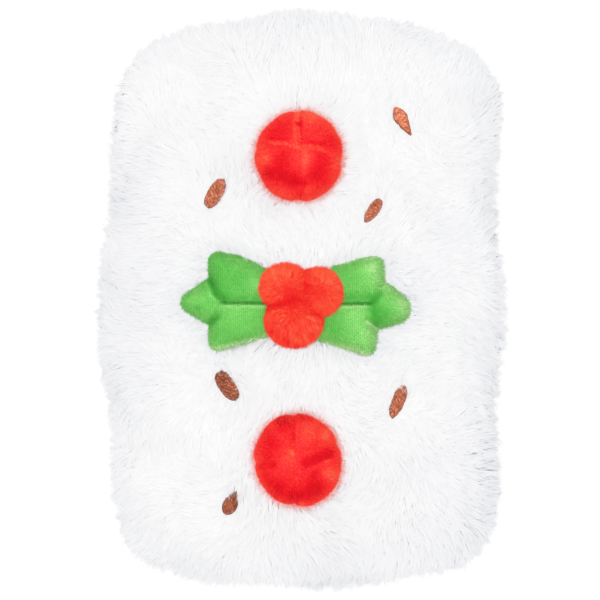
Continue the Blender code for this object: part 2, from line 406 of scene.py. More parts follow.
def loaf_form(cube_places, inset, base):
    """Where points of the cube from -1 to 1 go on the loaf, this far inside its outside."""
    u, v, w = cube_places.T
    ring = np.maximum(np.abs(u), np.abs(v))
    wall = power_sum(ring, w, SECTION_POWER)
    spread = np.maximum(power_sum(u, v, PLAN_POWER), 1e-9)
    x = (HALF_WIDTH - inset) * ring / wall * u / spread
    y = (HALF_LENGTH - inset) * ring / wall * v / spread
    y = y * (1 - END_CROWN * (x / HALF_WIDTH) ** 2)
    x = x * fullness(y)
    z = WAIST + np.where(w > 0, LOAF_TOP - inset - WAIST, UNDERSIDE_DEPTH - inset) * w / wall
    push = np.zeros((len(x), 2))
    for place_x, place_y, reach, push_x, push_y in BULGES:
        share = np.exp(-(np.hypot(x - place_x, y - place_y) ** 2) / reach**2)
        push += share[:, None] * (push_x, push_y)
    return np.stack([x + push[:, 0], y + push[:, 1], np.maximum(z, base)], 1)


def pile_top(x, y):
    """The height of the pile over a point of the floor plan."""
    u = x / fullness(y) / HALF_WIDTH
    v = y / HALF_LENGTH / (1 - END_CROWN * u**2)
    ring = np.minimum(power_sum(u, v, PLAN_POWER), 1)
    return WAIST + (LOAF_TOP - WAIST) * (1 - ring**SECTION_POWER) ** (1 / SECTION_POWER)


# %% The cloth under the pile
PILE_DEPTH = 0.0058
LUMP = 0.0013
LUMP_FADE = 0.02  # the lumps come in over this height, from half of it above the floor
SKIN_BASE = 0.003  # how far the cloth stays above the floor
SKIN_CUTS = 39
lumps = wandering(3, 0.075)


def make_skin():
    bm = bmesh.new()
    bmesh.ops.create_cube(bm, size=2.0)
    bmesh.ops.subdivide_edges(bm, edges=bm.edges[:], cuts=SKIN_CUTS, use_grid_fill=True)
    mesh = bpy.data.meshes.new("loaf_cloth")
    bm.to_mesh(mesh)
    bm.free()
    set_places(mesh, loaf_form(mesh_arrays(mesh)[0], PILE_DEPTH, SKIN_BASE))
    places, normals, _ = mesh_arrays(mesh)
    above = np.clip(places[:, 2] / LUMP_FADE - 0.5, 0, 1)
    set_places(mesh, places + normals * (LUMP * lumps(places) * above)[:, None])
    mesh.shade_smooth()
    return new_object("loaf_cloth", mesh)


skin = make_skin()
settle(skin, "fur_loaf", white_fur, FUR_SHADE)

# %% [markdown]
# ## Balls with pile
# Cherries and berries are balls with pile. A bump map on a smooth ball would show neither the creases
# at its outline nor its fuzz, so each is a core with short fibres on it. The core is a globe whose
# points are moved in or out by a relief, such as the creases of the seams. The fibres are sown on the
# core, so they follow every crease. Light and shade are painted into the shade too: soft patches and
# strokes, laid over the ball as seen from above, give painted highlights where the pile faces the light
# and painted shade where it turns away.


# %% A core with relief, and its pile
def pole_turn(tip_back, tip_left):
    """The turn that tips a ball's pole towards +Y and -X, as an array."""
    back = Matrix.Rotation(-math.radians(tip_back), 3, "X")
    left = Matrix.Rotation(-math.radians(tip_left), 3, "Y")
    return np.array(back @ left)


def globe(segments):
    """Directions and faces of a globe: rings of points from the upper pole to the lower one.

    Blender's own sphere lists its faces in another order each time, which would move every fibre on it.
    """
    rings = segments // 2 - 1
    down = np.pi * np.arange(1, rings + 1)[:, None] / (rings + 1)
    round_ring = 2 * np.pi * np.arange(segments) / segments
    level = np.sin(down)
    up = np.cos(down) + 0 * round_ring
    around = np.stack([level * np.cos(round_ring), level * np.sin(round_ring), up], 2)
    directions = np.concatenate([around.reshape(-1, 3), [(0, 0, 1), (0, 0, -1)]])
    upper_pole = rings * segments
    last_ring = upper_pole - segments
    faces = grid_faces(0, rings, segments)
    for number in range(segments):
        after = (number + 1) % segments
        faces.append([number, after, upper_pole])
        faces.append([last_ring + after, last_ring + number, upper_pole + 1])
    return directions, faces


def make_core(name, centre, halves, turn, relief, segments):
    directions, faces = globe(segments)
    places = directions * (np.array(halves) + relief(directions)[:, None])
    return closed_piece(name, places @ turn.T + centre, faces)


def reach_in_ball(places, centre, halves, turn):
    """How far out the places are, as a share of the way from the centre to the ball's outside."""
    return np.linalg.norm((places - centre) @ turn / np.array(halves), axis=1)


def ball_plan(places, centre, halves):
    """Places as seen from above, in shares of a ball's half sizes."""
    return (places - centre)[:, :2] / np.array(halves)[:2]


def patches_at(flat, patches):
    """The sum of soft patches (x, y, reach, strength) at points of a plan."""
    total = np.zeros(len(flat))
    for x, y, reach, strength in patches:
        total += strength * np.exp(-(((flat - (x, y)) / reach) ** 2).sum(1))
    return total


def from_line(points, start, end):
    """Distance of points from the line between two places, and where along it from 0 to 1."""
    start, end = np.array(start), np.array(end)
    way = end - start
    share = np.clip((points - start) @ way / (way @ way), 0, 1)
    return np.linalg.norm(points - start - share[:, None] * way, axis=1), share


def strokes_at(flat, strokes):
    """The sum of soft strokes (from x, y, to x, y, width, strength) at points of a plan."""
    total = np.zeros(len(flat))
    for x0, y0, x1, y1, width, strength in strokes:
        total += strength * np.exp(-((from_line(flat, (x0, y0), (x1, y1))[0] / width) ** 2))
    return total


# Painted light and shade on a ball: patches and strokes laid over its plan.
def painted_shading_at(places, centre, halves, patches, strokes=()):
    flat = ball_plan(places, centre, halves)
    return patches_at(flat, patches) + strokes_at(flat, strokes)


# %% [markdown]
# ## Cherries
# Each cherry is sewn from four gores of short plush. Their seams meet at the pole and pull the cloth
# in, so the gores stand out between creases. The pole is tipped back, as the cherries are sewn on. The
# creases could be carved with more points, but a formula for the depth is shorter: it needs only the
# distance to the nearest seam.

# %% Cherry sizes and seams
CHERRY_SEGMENTS = 80
CHERRY_INSET = 0.0010  # how far the core stays inside the solid
SEAM_DEPTH = 0.0013
SEAM_WIDTH = 0.0016
GORE_PUFF = 0.0007
GORE_REACH = 0.008  # from the seam to where the gore is full
cherry_finish = cloth_finish(
    "cherry_plush",
    [linear(196, 8, 28), linear(233, 19, 38), linear(255, 57, 55), linear(255, 86, 66), linear(255, 130, 94)],
    through=linear(255, 70, 56),
    through_share=0.3,
    noise_scale=1000.0,
    noise_strength=0.90,
)
CHERRIES = {
    # tip: how far the pole is tipped back and left, in degrees. seams: their angles from +X.
    # outline: where the stuffing leaves the round form: angle from +X, reach in degrees, how far out.
    # painted light and shade, as patches x, y, reach, strength, and strokes from x, y, to x, y, width,
    # strength.
    "cherry_upper": dict(
        halves=(0.0273, 0.0283, 0.0264),
        tip=(12, 0),
        seams=(-8, 92, 172, 268),
        outline=(
            (130, 32, -0.0016),
            (60, 14, -0.0008),
            (205, 16, -0.0012),
            (30, 10, -0.0008),
            (0, 10, -0.0006),
        ),
        painted_shading=(
            (0.01, 0.67, 0.05, -0.80),
            (-0.45, 0.62, 0.25, -0.12),
            (-0.62, 0.45, 0.18, -0.10),
            (0.28, 0.86, 0.22, 0.30),
            (0.80, 0.28, 0.16, -0.24),
            (-0.78, -0.08, 0.18, 0.30),
            (-0.40, -0.12, 0.18, -0.26),
            (-0.42, -0.42, 0.17, -0.40),
            (-0.74, -0.42, 0.14, -0.34),
            (-0.15, -0.58, 0.15, -0.42),
            (0.55, -0.18, 0.20, -0.22),
            (0.42, -0.50, 0.18, -0.38),
            (0.15, -0.10, 0.20, 0.26),
            (0.88, -0.20, 0.14, 0.22),
            (-0.35, -0.82, 0.16, 0.16),
            (0.30, -0.84, 0.16, 0.14),
            (0.03, -0.92, 0.06, -0.50),
        ),
        strokes=(
            (-0.04, 0.95, -0.06, 0.25, 0.070, 0.26),
            (0.03, 0.85, 0.06, 0.25, 0.025, -0.30),
            (-0.70, 0.27, -0.30, 0.235, 0.022, 0.26),
            (-0.30, 0.235, 0.02, 0.13, 0.028, 0.26),
            (0.02, 0.12, 0.48, 0.13, 0.030, 0.24),
            (0.48, 0.13, 0.75, -0.02, 0.025, 0.22),
            (-0.66, 0.35, -0.25, 0.32, 0.035, -0.26),
            (0.15, 0.24, 0.66, 0.22, 0.045, -0.24),
            (-0.72, -0.44, 0.14, -0.64, 0.080, -0.36),
            (0.17, 0.05, 0.14, -0.38, 0.070, 0.14),
        ),
    ),
    "cherry_lower": dict(
        halves=(0.0267, 0.0285, 0.0264),
        tip=(13, 7),
        seams=(18, 95, 185, 265),
        outline=(
            (60, 35, -0.0011),
            (318, 26, 0.0014),
            (280, 16, 0.0008),
            (152, 12, -0.0007),
            (215, 16, -0.0006),
        ),
        painted_shading=(
            (-0.38, 0.92, 0.17, -0.85),
            (-0.16, 0.90, 0.09, -0.60),
            (0.10, 0.99, 0.09, -0.60),
            (0.28, 0.97, 0.09, -0.60),
            (0.30, 0.62, 0.28, 0.24),
            (0.68, 0.55, 0.14, 0.30),
            (0.40, 0.36, 0.10, -0.08),
            (-0.14, 0.20, 0.05, 0.40),
            (-0.20, 0.05, 0.20, 0.20),
            (-0.68, 0.35, 0.22, -0.24),
            (-0.80, 0.62, 0.12, -0.20),
            (-0.86, -0.12, 0.07, -0.50),
            (-0.56, -0.11, 0.06, -0.45),
            (-0.70, -0.02, 0.12, -0.20),
            (-0.46, -0.64, 0.19, -0.52),
            (-0.05, -0.82, 0.18, -0.52),
            (0.20, -0.80, 0.14, -0.34),
            (0.40, -0.62, 0.21, -0.56),
            (-0.72, -0.42, 0.14, -0.24),
            (0.42, -0.33, 0.10, -0.35),
            (0.78, -0.32, 0.18, 0.32),
            (0.10, -0.99, 0.10, 0.35),
        ),
        strokes=(
            (-0.11, 0.80, -0.11, 0.45, 0.028, -0.28),
            (0.22, -0.04, 0.80, 0.17, 0.115, -0.56),
            (0.28, -0.18, 0.80, 0.02, 0.025, 0.30),
        ),
    ),
}


def angle_between(angles, turn):
    """How far angles are from a turn in degrees, in radians."""
    return np.abs((angles - math.radians(turn) + np.pi) % (2 * np.pi) - np.pi)


def seam_relief(seams, radius, outline):
    """Creases along the seams, puffed gores between them, and where the outline isn't round."""

    def relief(directions):
        angle = np.arctan2(directions[:, 1], directions[:, 0])
        level = np.hypot(directions[:, 0], directions[:, 1])
        gap = np.min([angle_between(angle, seam) for seam in seams], axis=0) * level * radius
        crease = SEAM_DEPTH * np.exp(-((gap / SEAM_WIDTH) ** 2))
        push = 0
        for turn, reach, out in outline:
            push = push + out * np.exp(-((angle_between(angle, turn) / math.radians(reach)) ** 2))
        return GORE_PUFF * np.minimum(1, gap / GORE_REACH) - crease - CHERRY_INSET + push * level**2

    return relief


# %% [markdown]
# The cherries' pile lies away from the pole, as combed, and a smooth noise turns it here and there.
# Some of the fibres are longer and thinner, and a few long single hairs stand off the sides: they give
# the white fur round a cherry its red glow. All this could be a texture, but only real fibres make the
# soft edge that plush has.

# %% Make the cherries
CHERRY_FIBRES = 14000
CHERRY_PILE = 0.0018
CHERRY_PILE_WIDTH = 0.00042
CHERRY_PILE_BELOW = 0.018  # how far below the centre it still grows
CHERRY_FUZZ = 1500  # how many of the fibres are longer and thinner
FUZZ_LENGTH = 0.0034
FUZZ_WIDTH = 0.00026
CHERRY_CORE_SHADE = 0.38
CHERRY_SHADE = 0.46
# a painted highlight on the cherries' rims, where velvet would catch the light
CHERRY_PAINTED_RIM_LIGHT = 0.22
CHERRY_PAINTED_SHADING = 1.15  # how strongly the painted light and shade show on the fibres
RIM_LIFT = 0.5  # how far the pile on the rims turns up to the light
cherry_nap = wandering(31, 0.016)
cherry_nap_two = wandering(32, 0.016)
cherry_mottle = wandering(34, 0.0014)


def middle_of(node):
    """The middle of a solid's box."""
    low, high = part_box(node)
    return (np.array(low) + high) / 2


def make_cherry(node, halves, tip, seams, outline, painted_shading, strokes, draw):
    centre = middle_of(node)
    turn = pole_turn(*tip)
    relief = seam_relief(seams, halves[0], outline)
    core = make_core(node + "_core", centre, halves, turn, relief, CHERRY_SEGMENTS)
    cloth = mesh_arrays(core.data)[0]
    # the core carries the same painted light and shade as its pile
    core_shade = CHERRY_CORE_SHADE + painted_shading_at(cloth, centre, halves, painted_shading, strokes)
    settle(core, node, cherry_finish, core_shade)
    lowest = centre[2] - CHERRY_PILE_BELOW
    roots, normals = sow(core.data, CHERRY_FIBRES, draw, lambda p, n: p[:, 2] > lowest)
    pole = turn[:, 2]
    combed = unit(normals * (normals @ pole)[:, None] - pole)
    side = np.cross(normals, combed)
    lay = combed * (0.7 + 0.5 * cherry_nap(roots))[:, None] + side * (0.6 * cherry_nap_two(roots))[:, None]
    lay = lay + 0.25 * draw.normal(size=lay.shape)
    fuzz = (np.arange(CHERRY_FIBRES) < CHERRY_FUZZ)[draw.permutation(CHERRY_FIBRES)][:, None]
    length = np.where(fuzz, FUZZ_LENGTH, CHERRY_PILE) * draw.uniform(0.7, 1.1, (CHERRY_FIBRES, 1))
    lay = lay * np.where(fuzz, 0.3, 1.0)
    bends = roots + (normals * 0.7 + lay * 0.3) * length * 0.6
    tips = roots + (normals * 0.75 + lay * 0.75) * length
    widths = np.where(fuzz[:, 0], FUZZ_WIDTH, CHERRY_PILE_WIDTH)
    facing_up = unit(normals + (0, 0, RIM_LIFT))
    pile = blades(node + "_pile", roots, bends, tips, widths, facing_up, draw)
    # painted light and shade: patches, strokes, speckled painted shade, rim highlight, dark roots, lit tips
    painted_here = CHERRY_PAINTED_SHADING * painted_shading_at(tips, centre, halves, painted_shading, strokes)
    mottled = np.minimum(painted_here, 0) * np.clip(1.5 * cherry_mottle(tips), -0.5, 2.2)
    shade = CHERRY_SHADE + painted_here + mottled + draw.normal(0, 0.10, CHERRY_FIBRES)
    shade += CHERRY_PAINTED_RIM_LIGHT * (1 - np.clip(normals[:, 2], 0, 1)) ** 2
    settle(pile, node, cherry_finish, blade_shades(shade - 0.2, shade, shade + 0.12))
    grow_halo(node, core, draw)
    return centre, halves, turn


HALO_FIBRES = 2000
HALO_LENGTH = 0.0105
HALO_WIDTH = 0.00005
HALO_SHADE = 0.8


def grow_halo(node, core, draw):
    """Long single hairs that stand off the ball's sides and tint the fur round it."""
    roots, normals = sow(core.data, HALO_FIBRES, draw, lambda p, n: np.abs(n[:, 2] - 0.2) < 0.4)
    length = HALO_LENGTH * draw.uniform(0.4, 1.0, (HALO_FIBRES, 1))
    way = unit(normals * (1, 1, 0.4) + 0.45 * draw.normal(size=normals.shape))
    bends = roots + unit(normals + way) * length * 0.5
    tips = roots + way * length
    widths = np.full(HALO_FIBRES, HALO_WIDTH)
    halo = blades(node + "_halo", roots, bends, tips, widths, unit(normals + (0, 0, 1)), draw)
    settle(halo, node, cherry_finish, HALO_SHADE)


ball_draw = np.random.default_rng(41)
balls = {name: make_cherry(name, draw=ball_draw, **facts) for name, facts in CHERRIES.items()}

# %% [markdown]
# ## Berries
# The berries are pompons: yarn tied in the middle and cut, pressed together. The yarn runs outwards
# from the pole like the rays of a daisy, in little strands. Curves along each thread would be nearer to
# yarn but far heavier, so blades that gather at strand points stand for it. A fibre that lies deeper
# in a neighbour than in its own ball is left out, which presses the pompons flat where they meet, and
# painted shade darkens the pile in that crevice. Soft patches of painted light and shade lie over each.

# %% Berry sizes
BERRY_SEGMENTS = 48
BERRY_INSET = 0.0020  # how far the core stays inside the pile
berry_finish = cloth_finish(
    "berry_pompon",
    [linear(222, 24, 30), linear(250, 64, 49), linear(255, 100, 67), linear(255, 140, 90)],
    through=linear(255, 96, 68),
    through_share=0.25,
    noise_scale=700.0,
    noise_strength=0.25,
)
BERRIES = {
    # place: x, y, and how far the centre stands over the loaf's pile. level: the pile's shade.
    # rays: how much the strands differ. pressed_by: who presses on it, and the painted shade in that crevice.
    # the patches are painted light and shade: x, y, reach, strength
    "berry_lower": dict(
        place=(-0.0051, -0.0133, 0.0113),
        halves=(0.0187, 0.0172, 0.0138),
        tip=(34, 2),
        level=0.40,
        rays=0.12,
        pressed_by=dict(berry_upper_left=0.60, berry_upper_right=0.25),
        painted_shading=(
            (-0.8, -0.45, 0.22, -0.30),
            (-0.35, -0.8, 0.25, -0.30),
            (-0.35, 0.4, 0.30, 0.12),
            (0.3, -0.2, 0.5, 0.05),
        ),
    ),
    "berry_upper_left": dict(
        place=(-0.0103, 0.0074, 0.0100),
        halves=(0.0169, 0.0154, 0.0135),
        tip=(-4, -6),
        level=0.46,
        rays=0.07,
        pressed_by=dict(berry_lower=0.50, berry_upper_right=0.24),
        painted_shading=((-0.3, 0.6, 0.55, 0.18), (0.20, -0.25, 0.35, -0.22), (0.15, -0.65, 0.30, -0.16)),
    ),
    "berry_upper_right": dict(
        place=(0.0102, 0.0043, 0.0098),
        halves=(0.0158, 0.0160, 0.0135),
        tip=(8, -4),
        level=0.46,
        rays=0.07,
        pressed_by=dict(berry_lower=0.20, berry_upper_left=0.30),
        painted_shading=((0.4, 0.6, 0.45, 0.18), (-0.45, 0.15, 0.35, -0.30), (-0.55, -0.45, 0.30, -0.20)),
    ),
}


def tree_of(places):
    tree = KDTree(len(places))
    for number, place in enumerate(places):
        tree.insert(place, number)
    tree.balance()
    return tree


def nearest_of(tree, places):
    return np.array([tree.find(place)[1] for place in places])


for node, facts in BERRIES.items():
    x, y, rise = facts.pop("place")
    balls[node] = (np.array([x, y, pile_top(x, y) + rise]), facts.pop("halves"), np.eye(3))

# %% Make the berries
BERRY_FIBRES = 9500
BERRY_STRANDS = 1500
BERRY_PILE = 0.0046
BERRY_PILE_WIDTH = 0.00036
BERRY_PILE_BELOW = 0.009
BERRY_FUZZ = 0.08  # the share of the fibres that are longer and thinner
BERRY_FUZZ_LONGER = 1.3
BERRY_FUZZ_WIDTH = 0.00022
# painted shade on the core, deep in the pompon
BERRY_CORE_SHADE = 0.1
CREVICE_REACH = 0.30  # how far the painted shade of a crevice reaches, as a share of the ball
berry_ray = wandering(33, 0.20)


def even_inset(directions):
    return np.full(len(directions), -BERRY_INSET)


def make_berry(node, tip, level, rays, pressed_by, painted_shading, draw):
    centre, halves, upright = balls[node]
    core = make_core(node + "_core", centre, halves, upright, even_inset, BERRY_SEGMENTS)
    settle(core, node, berry_finish, BERRY_CORE_SHADE)
    lowest = centre[2] - BERRY_PILE_BELOW
    roots, normals = sow(core.data, BERRY_FIBRES, draw, lambda p, n: p[:, 2] > lowest)
    strands = sow(core.data, BERRY_STRANDS, draw)[0]
    nearest = nearest_of(tree_of(strands), roots)
    turn = pole_turn(*tip)
    combed = normals * (normals @ turn[:, 2])[:, None] - turn[:, 2]
    strand_way = 0.07 * draw.normal(size=(BERRY_STRANDS, 3))
    lay = combed * 0.85 + strand_way[nearest] + 0.12 * draw.normal(size=roots.shape)
    fuzz = draw.uniform(0, 1, len(roots)) < BERRY_FUZZ
    longer = np.where(fuzz, BERRY_FUZZ_LONGER, 1.0)
    length = BERRY_PILE * (draw.uniform(0.85, 1.05, len(roots)) * longer)[:, None]
    gather = (strands[nearest] - roots) * 0.25
    bends = roots + (normals * 0.62 + lay * 0.5) * length * 0.5 + gather * 0.4
    tips = roots + (normals * 0.45 + lay * 0.95) * length + gather
    free = np.ones(len(roots), bool)
    crevice_shade = np.zeros(len(roots))
    own = reach_in_ball(bends, *balls[node])
    for other, painted_dark in pressed_by.items():
        gap = reach_in_ball(bends, *balls[other]) - own
        free &= gap > 0
        crevice_shade = np.maximum(crevice_shade, painted_dark * np.clip(1 - gap / CREVICE_REACH, 0, 1))
    widths = np.where(fuzz, BERRY_FUZZ_WIDTH, BERRY_PILE_WIDTH)[free]
    facing_up = unit(normals[free] + (0, 0, RIM_LIFT))
    pile = blades(node + "_pile", roots[free], bends[free], tips[free], widths, facing_up, draw, roll=0.5)
    local = unit((strands - centre) @ turn)
    polar = np.arccos(np.clip(local[:, 2:], -1, 1))
    strand_shade = berry_ray(np.column_stack([unit(local[:, :2]), 0.4 * polar]))
    strand_shade = strand_shade + draw.normal(0, 0.7, BERRY_STRANDS)
    # painted light and shade: patches, painted shade in crevices and at roots, painted light at tips
    shade = level + rays * strand_shade[nearest] + painted_shading_at(tips, centre, halves, painted_shading)
    shade = (shade - crevice_shade)[free]
    settle(pile, node, berry_finish, blade_shades(shade - 0.38, shade, shade + 0.24))


for node, facts in BERRIES.items():
    make_berry(node, draw=ball_draw, **facts)

# %% [markdown]
# ## Holly leaves
# A leaf is two layers of minky cloth sewn along the rim, turned and stuffed, with a rib stitched
# through both layers. An inflated cloth simulation could give it, but the folds would fall where they
# like. The stuffing lifts the cloth steeply behind the rim and then levels off, so here the height
# depends on how far the rim is away. The rib and the valleys from the notches are grooves in it.


# %% Outline of a leaf
def rounded_outline(corners, count, steps=10):
    """Points evenly along a closed outline whose corners (x, y, radius) are rounded by arcs."""
    points = []
    for number, (x, y, radius) in enumerate(corners):
        corner = Vector((x, y))
        before = (Vector(corners[number - 1][:2]) - corner).normalized()
        after = (Vector(corners[(number + 1) % len(corners)][:2]) - corner).normalized()
        half_angle = before.angle(after) / 2
        centre = corner + (before + after).normalized() * radius / math.sin(half_angle)
        start = corner + before * radius / math.tan(half_angle) - centre
        sweep = start.angle_signed(corner + after * radius / math.tan(half_angle) - centre)
        for step in range(steps + 1):
            points.append(centre + Matrix.Rotation(-sweep * step / steps, 2) @ start)
    points = np.array(points + points[:1])
    run = np.concatenate([[0], np.cumsum(np.linalg.norm(np.diff(points, axis=0), axis=1))])
    wanted = np.arange(count) / count * run[-1]
    return np.stack([np.interp(wanted, run, points[:, 0]), np.interp(wanted, run, points[:, 1])], 1)


def rim_distance(points, outline):
    ends = np.roll(outline, -1, axis=0)
    return np.min([from_line(points, start, end)[0] for start, end in zip(outline, ends)], axis=0)


# %% Leaf sizes
LEAF_RIM_LIFT = 0.0031  # how far the rim stands over the loaf's pile
LEAF_PUFF = 0.0078
LEAF_BELLY = 0.0024
LEAF_ROLL = 0.0100  # how far behind the rim the cloth levels off
RIB_DEPTH = 0.0030
RIB_WIDTH = 0.00065
RIB_STITCH = 0.0032  # from one pucker of the rib to the next
RIB_VALLEY_DEPTH = 0.0016
RIB_VALLEY_WIDTH = 0.005
VALLEY_WIDTH = 0.0020
LEAF_AROUND = 220
LEAF_TOP_SHARES = np.sin(np.linspace(np.pi / 2, 0.03, 26))
LEAF_UNDER_SHARES = np.array([0.97, 0.90, 0.75, 0.5, 0.2])
LEAVES = {
    # heart: the leaf's own middle on the toy, from which its other places are measured.
    # corners: x, y, radius. valleys: from a notch, to a place, depth. level: the cloth's shade.
    # the patches and strokes are painted light and shade: the rib's dark line, lit ridges, shaded valleys
    "holly_leaf_left": dict(
        heart=(-0.0415, -0.0022),
        rib_end=-0.0075,
        rib_start=0.030,
        corners=(
            (0.0245, 0.0190, 0.0010),
            (0.0182, 0.0222, 0.0080),
            (0.0028, 0.0292, 0.0200),
            (-0.0178, 0.0330, 0.0060),
            (-0.0172, 0.0157, 0.0030),
            (-0.0400, -0.0002, 0.0062),
            (-0.0172, -0.0138, 0.0030),
            (-0.0172, -0.0316, 0.0058),
            (0.0240, -0.0200, 0.0010),
            (0.0250, -0.0004, 0.0010),
        ),
        valleys=(
            ((-0.0172, 0.0157), (-0.0080, 0.0010), 0.0030),
            ((-0.0172, -0.0138), (-0.0110, -0.0060), 0.0026),
        ),
        level=0.45,
        painted_shading=(
            (-0.0120, 0.0200, 0.0090, -0.10),
            (0.0000, 0.0120, 0.0110, -0.07),
            (0.0130, 0.0110, 0.0050, 0.14),
            (0.0000, -0.0065, 0.0075, 0.10),
            (-0.0240, -0.0024, 0.0024, -0.18),
            (-0.0250, 0.0050, 0.0060, 0.08),
            (-0.0080, -0.0190, 0.0070, -0.05),
        ),
        strokes=(
            (-0.0170, 0.0150, -0.0130, 0.0055, 0.0018, -0.30),
            (-0.0130, 0.0055, -0.0070, 0.0004, 0.0015, -0.14),
            (-0.0140, 0.0130, -0.0080, 0.0045, 0.0046, -0.16),
            (-0.0190, 0.0135, -0.0152, 0.0042, 0.0010, 0.18),
            (-0.0152, 0.0042, -0.0092, -0.0014, 0.0010, 0.12),
            (-0.0070, 0.0003, 0.0200, -0.0005, 0.0005, -0.35),
            (-0.0060, 0.0026, 0.0200, 0.0020, 0.0022, -0.13),
            (-0.0080, -0.0019, 0.0200, -0.0025, 0.0012, 0.18),
            (-0.0172, -0.0130, -0.0115, -0.0090, 0.0022, -0.28),
            (-0.0140, -0.0292, 0.0200, -0.0212, 0.0020, 0.28),
            (-0.0060, 0.0300, 0.0160, 0.0220, 0.0018, 0.08),
        ),
    ),
    "holly_leaf_right": dict(
        heart=(0.0345, -0.0028),
        rib_end=0.0080,
        rib_start=-0.030,
        corners=(
            (-0.0275, -0.0220, 0.0010),
            (0.0018, -0.0310, 0.0250),
            (0.0105, -0.0342, 0.0056),
            (0.0128, -0.0160, 0.0045),
            (0.0437, -0.0070, 0.0092),
            (0.0172, 0.0143, 0.0035),
            (0.0161, 0.0305, 0.0054),
            (0.0025, 0.0284, 0.0300),
            (-0.0165, 0.0232, 0.0010),
            (-0.0235, -0.0002, 0.0010),
        ),
        valleys=(
            ((0.0128, -0.0160), (0.0065, -0.0098), 0.0034),
            ((0.0172, 0.0143), (0.0125, 0.0048), 0.0020),
        ),
        level=0.50,
        painted_shading=(
            (0.0160, -0.0060, 0.0060, -0.22),
            (0.0300, -0.0010, 0.0085, 0.20),
            (0.0200, 0.0110, 0.0060, 0.14),
            (0.0110, 0.0220, 0.0090, 0.20),
            (-0.0060, 0.0180, 0.0080, -0.08),
            (0.0000, -0.0080, 0.0080, 0.12),
            (0.0075, -0.0210, 0.0080, 0.14),
            (-0.0150, -0.0140, 0.0070, -0.18),
        ),
        strokes=(
            (0.0095, 0.0005, 0.0118, -0.0115, 0.0032, -0.30),
            (0.0150, 0.0062, 0.0105, 0.0016, 0.0018, -0.24),
            (-0.0120, 0.0036, 0.0110, 0.0045, 0.0034, -0.20),
            (-0.0150, 0.0003, 0.0080, 0.0010, 0.0005, -0.40),
            (-0.0150, -0.0020, 0.0070, -0.0012, 0.0012, 0.16),
            (0.0060, -0.0112, 0.0120, -0.0154, 0.0012, 0.30),
            (-0.0190, -0.0252, 0.0060, -0.0322, 0.0022, 0.24),
            (-0.0100, 0.0268, 0.0120, 0.0298, 0.0018, 0.15),
        ),
    ),
}


# %% [markdown]
# Minky is a knitted cloth with short pile. It shows fine rows, a sheen where the pile lies towards the
# light, and brushed patches. A photograph of cloth would fix the light into the colour, so waves make
# the rows, noise makes the unevenness, and the same numbers raise the surface a little.

# %% Leaf finish
LEAF_GREENS = [linear(54, 140, 48), linear(75, 159, 62), linear(118, 181, 96), linear(200, 212, 170)]
LEAF_SHEEN = {"Sheen Weight": 0.22, "Sheen Roughness": 0.5, "Sheen Tint": linear(200, 245, 150)}


def minky_finish():
    """Knitted minky: fine rows, a brushed variation, and a sheen where the pile lies towards the light."""
    values = {"Roughness": 0.8, "Specular IOR Level": CLOTH_GLOSS, **LEAF_SHEEN}
    material, nodes, links, shader = new_finish("holly_minky", values)
    shade = nodes.new("ShaderNodeAttribute")
    shade.attribute_name = "shade"
    wander = noise_around_zero(nodes, links, 120.0, 3.0, 0.22)
    fine = noise_around_zero(nodes, links, 1500.0, 2.0, 0.60)
    place = nodes.new("ShaderNodeTexCoord")
    rows = nodes.new("ShaderNodeTexWave")
    rows.bands_direction = "X"
    set_inputs(rows, {"Scale": 240.0, "Distortion": 1.5, "Detail Scale": 0.4})
    links.new(place.outputs["Object"], rows.inputs["Vector"])
    row_shade = add_math(nodes, links, "MULTIPLY", rows.outputs["Fac"], 0.11)
    total = shade.outputs["Fac"]
    for part in (wander, fine, row_shade):
        total = add_math(nodes, links, "ADD", total, part)
    ramp = colour_ramp(nodes, LEAF_GREENS)
    links.new(total, ramp.inputs["Fac"])
    links.new(ramp.outputs["Color"], shader.inputs["Base Color"])
    bump = nodes.new("ShaderNodeBump")
    set_inputs(bump, {"Strength": 0.5, "Distance": 0.0004})
    links.new(add_math(nodes, links, "ADD", row_shade, fine), bump.inputs["Height"])
    links.new(bump.outputs["Normal"], shader.inputs["Normal"])
    return material


holly_minky = minky_finish()
holly_pile = cloth_finish(
    "holly_pile",
    LEAF_GREENS,
    through=linear(120, 200, 80),
    through_share=0.25,
    noise_scale=300.0,
    noise_strength=0.3,
)


# %% The form of a leaf
def leaf_heights(points, outline, rib_end, rib_start, valleys):
    """Height of the upper cloth over the rim, and how deep in the rib's groove each point lies from 0 to 1.
    """
    rim = np.clip(rim_distance(points, outline) / LEAF_ROLL, 0, 1)
    height = LEAF_PUFF * (1 - (1 - rim) ** 2) ** 0.7
    off = from_line(points, (rib_start, 0.0), (rib_end, 0.0))[0]
    along = np.abs(points[:, 0] - rib_end)
    pucker = 1 + 0.08 * np.sin(along * 2 * np.pi / RIB_STITCH)
    deep = np.exp(-((off / RIB_WIDTH) ** 2))
    groove = RIB_DEPTH * pucker * deep + RIB_VALLEY_DEPTH * np.exp(-((off / RIB_VALLEY_WIDTH) ** 2))
    for start, end, depth in valleys:
        off, share = from_line(points, start, end)
        groove += depth * (1 - 0.45 * share) * np.exp(-((off / VALLEY_WIDTH) ** 2))
    return height - np.minimum(groove, 0.75 * height), deep


# %% [markdown]
# The cloth of a leaf is made of rings: small copies of its outline, from the middle to the rim on top,
# and back to the middle underneath. Short fibres are sown on it, a little longer at the rim, and their
# shade shows the knitted rows. The edges that face -Y have a painted highlight, as a sheen where their
# pile would lie towards the light, and the rib's groove has painted shade.

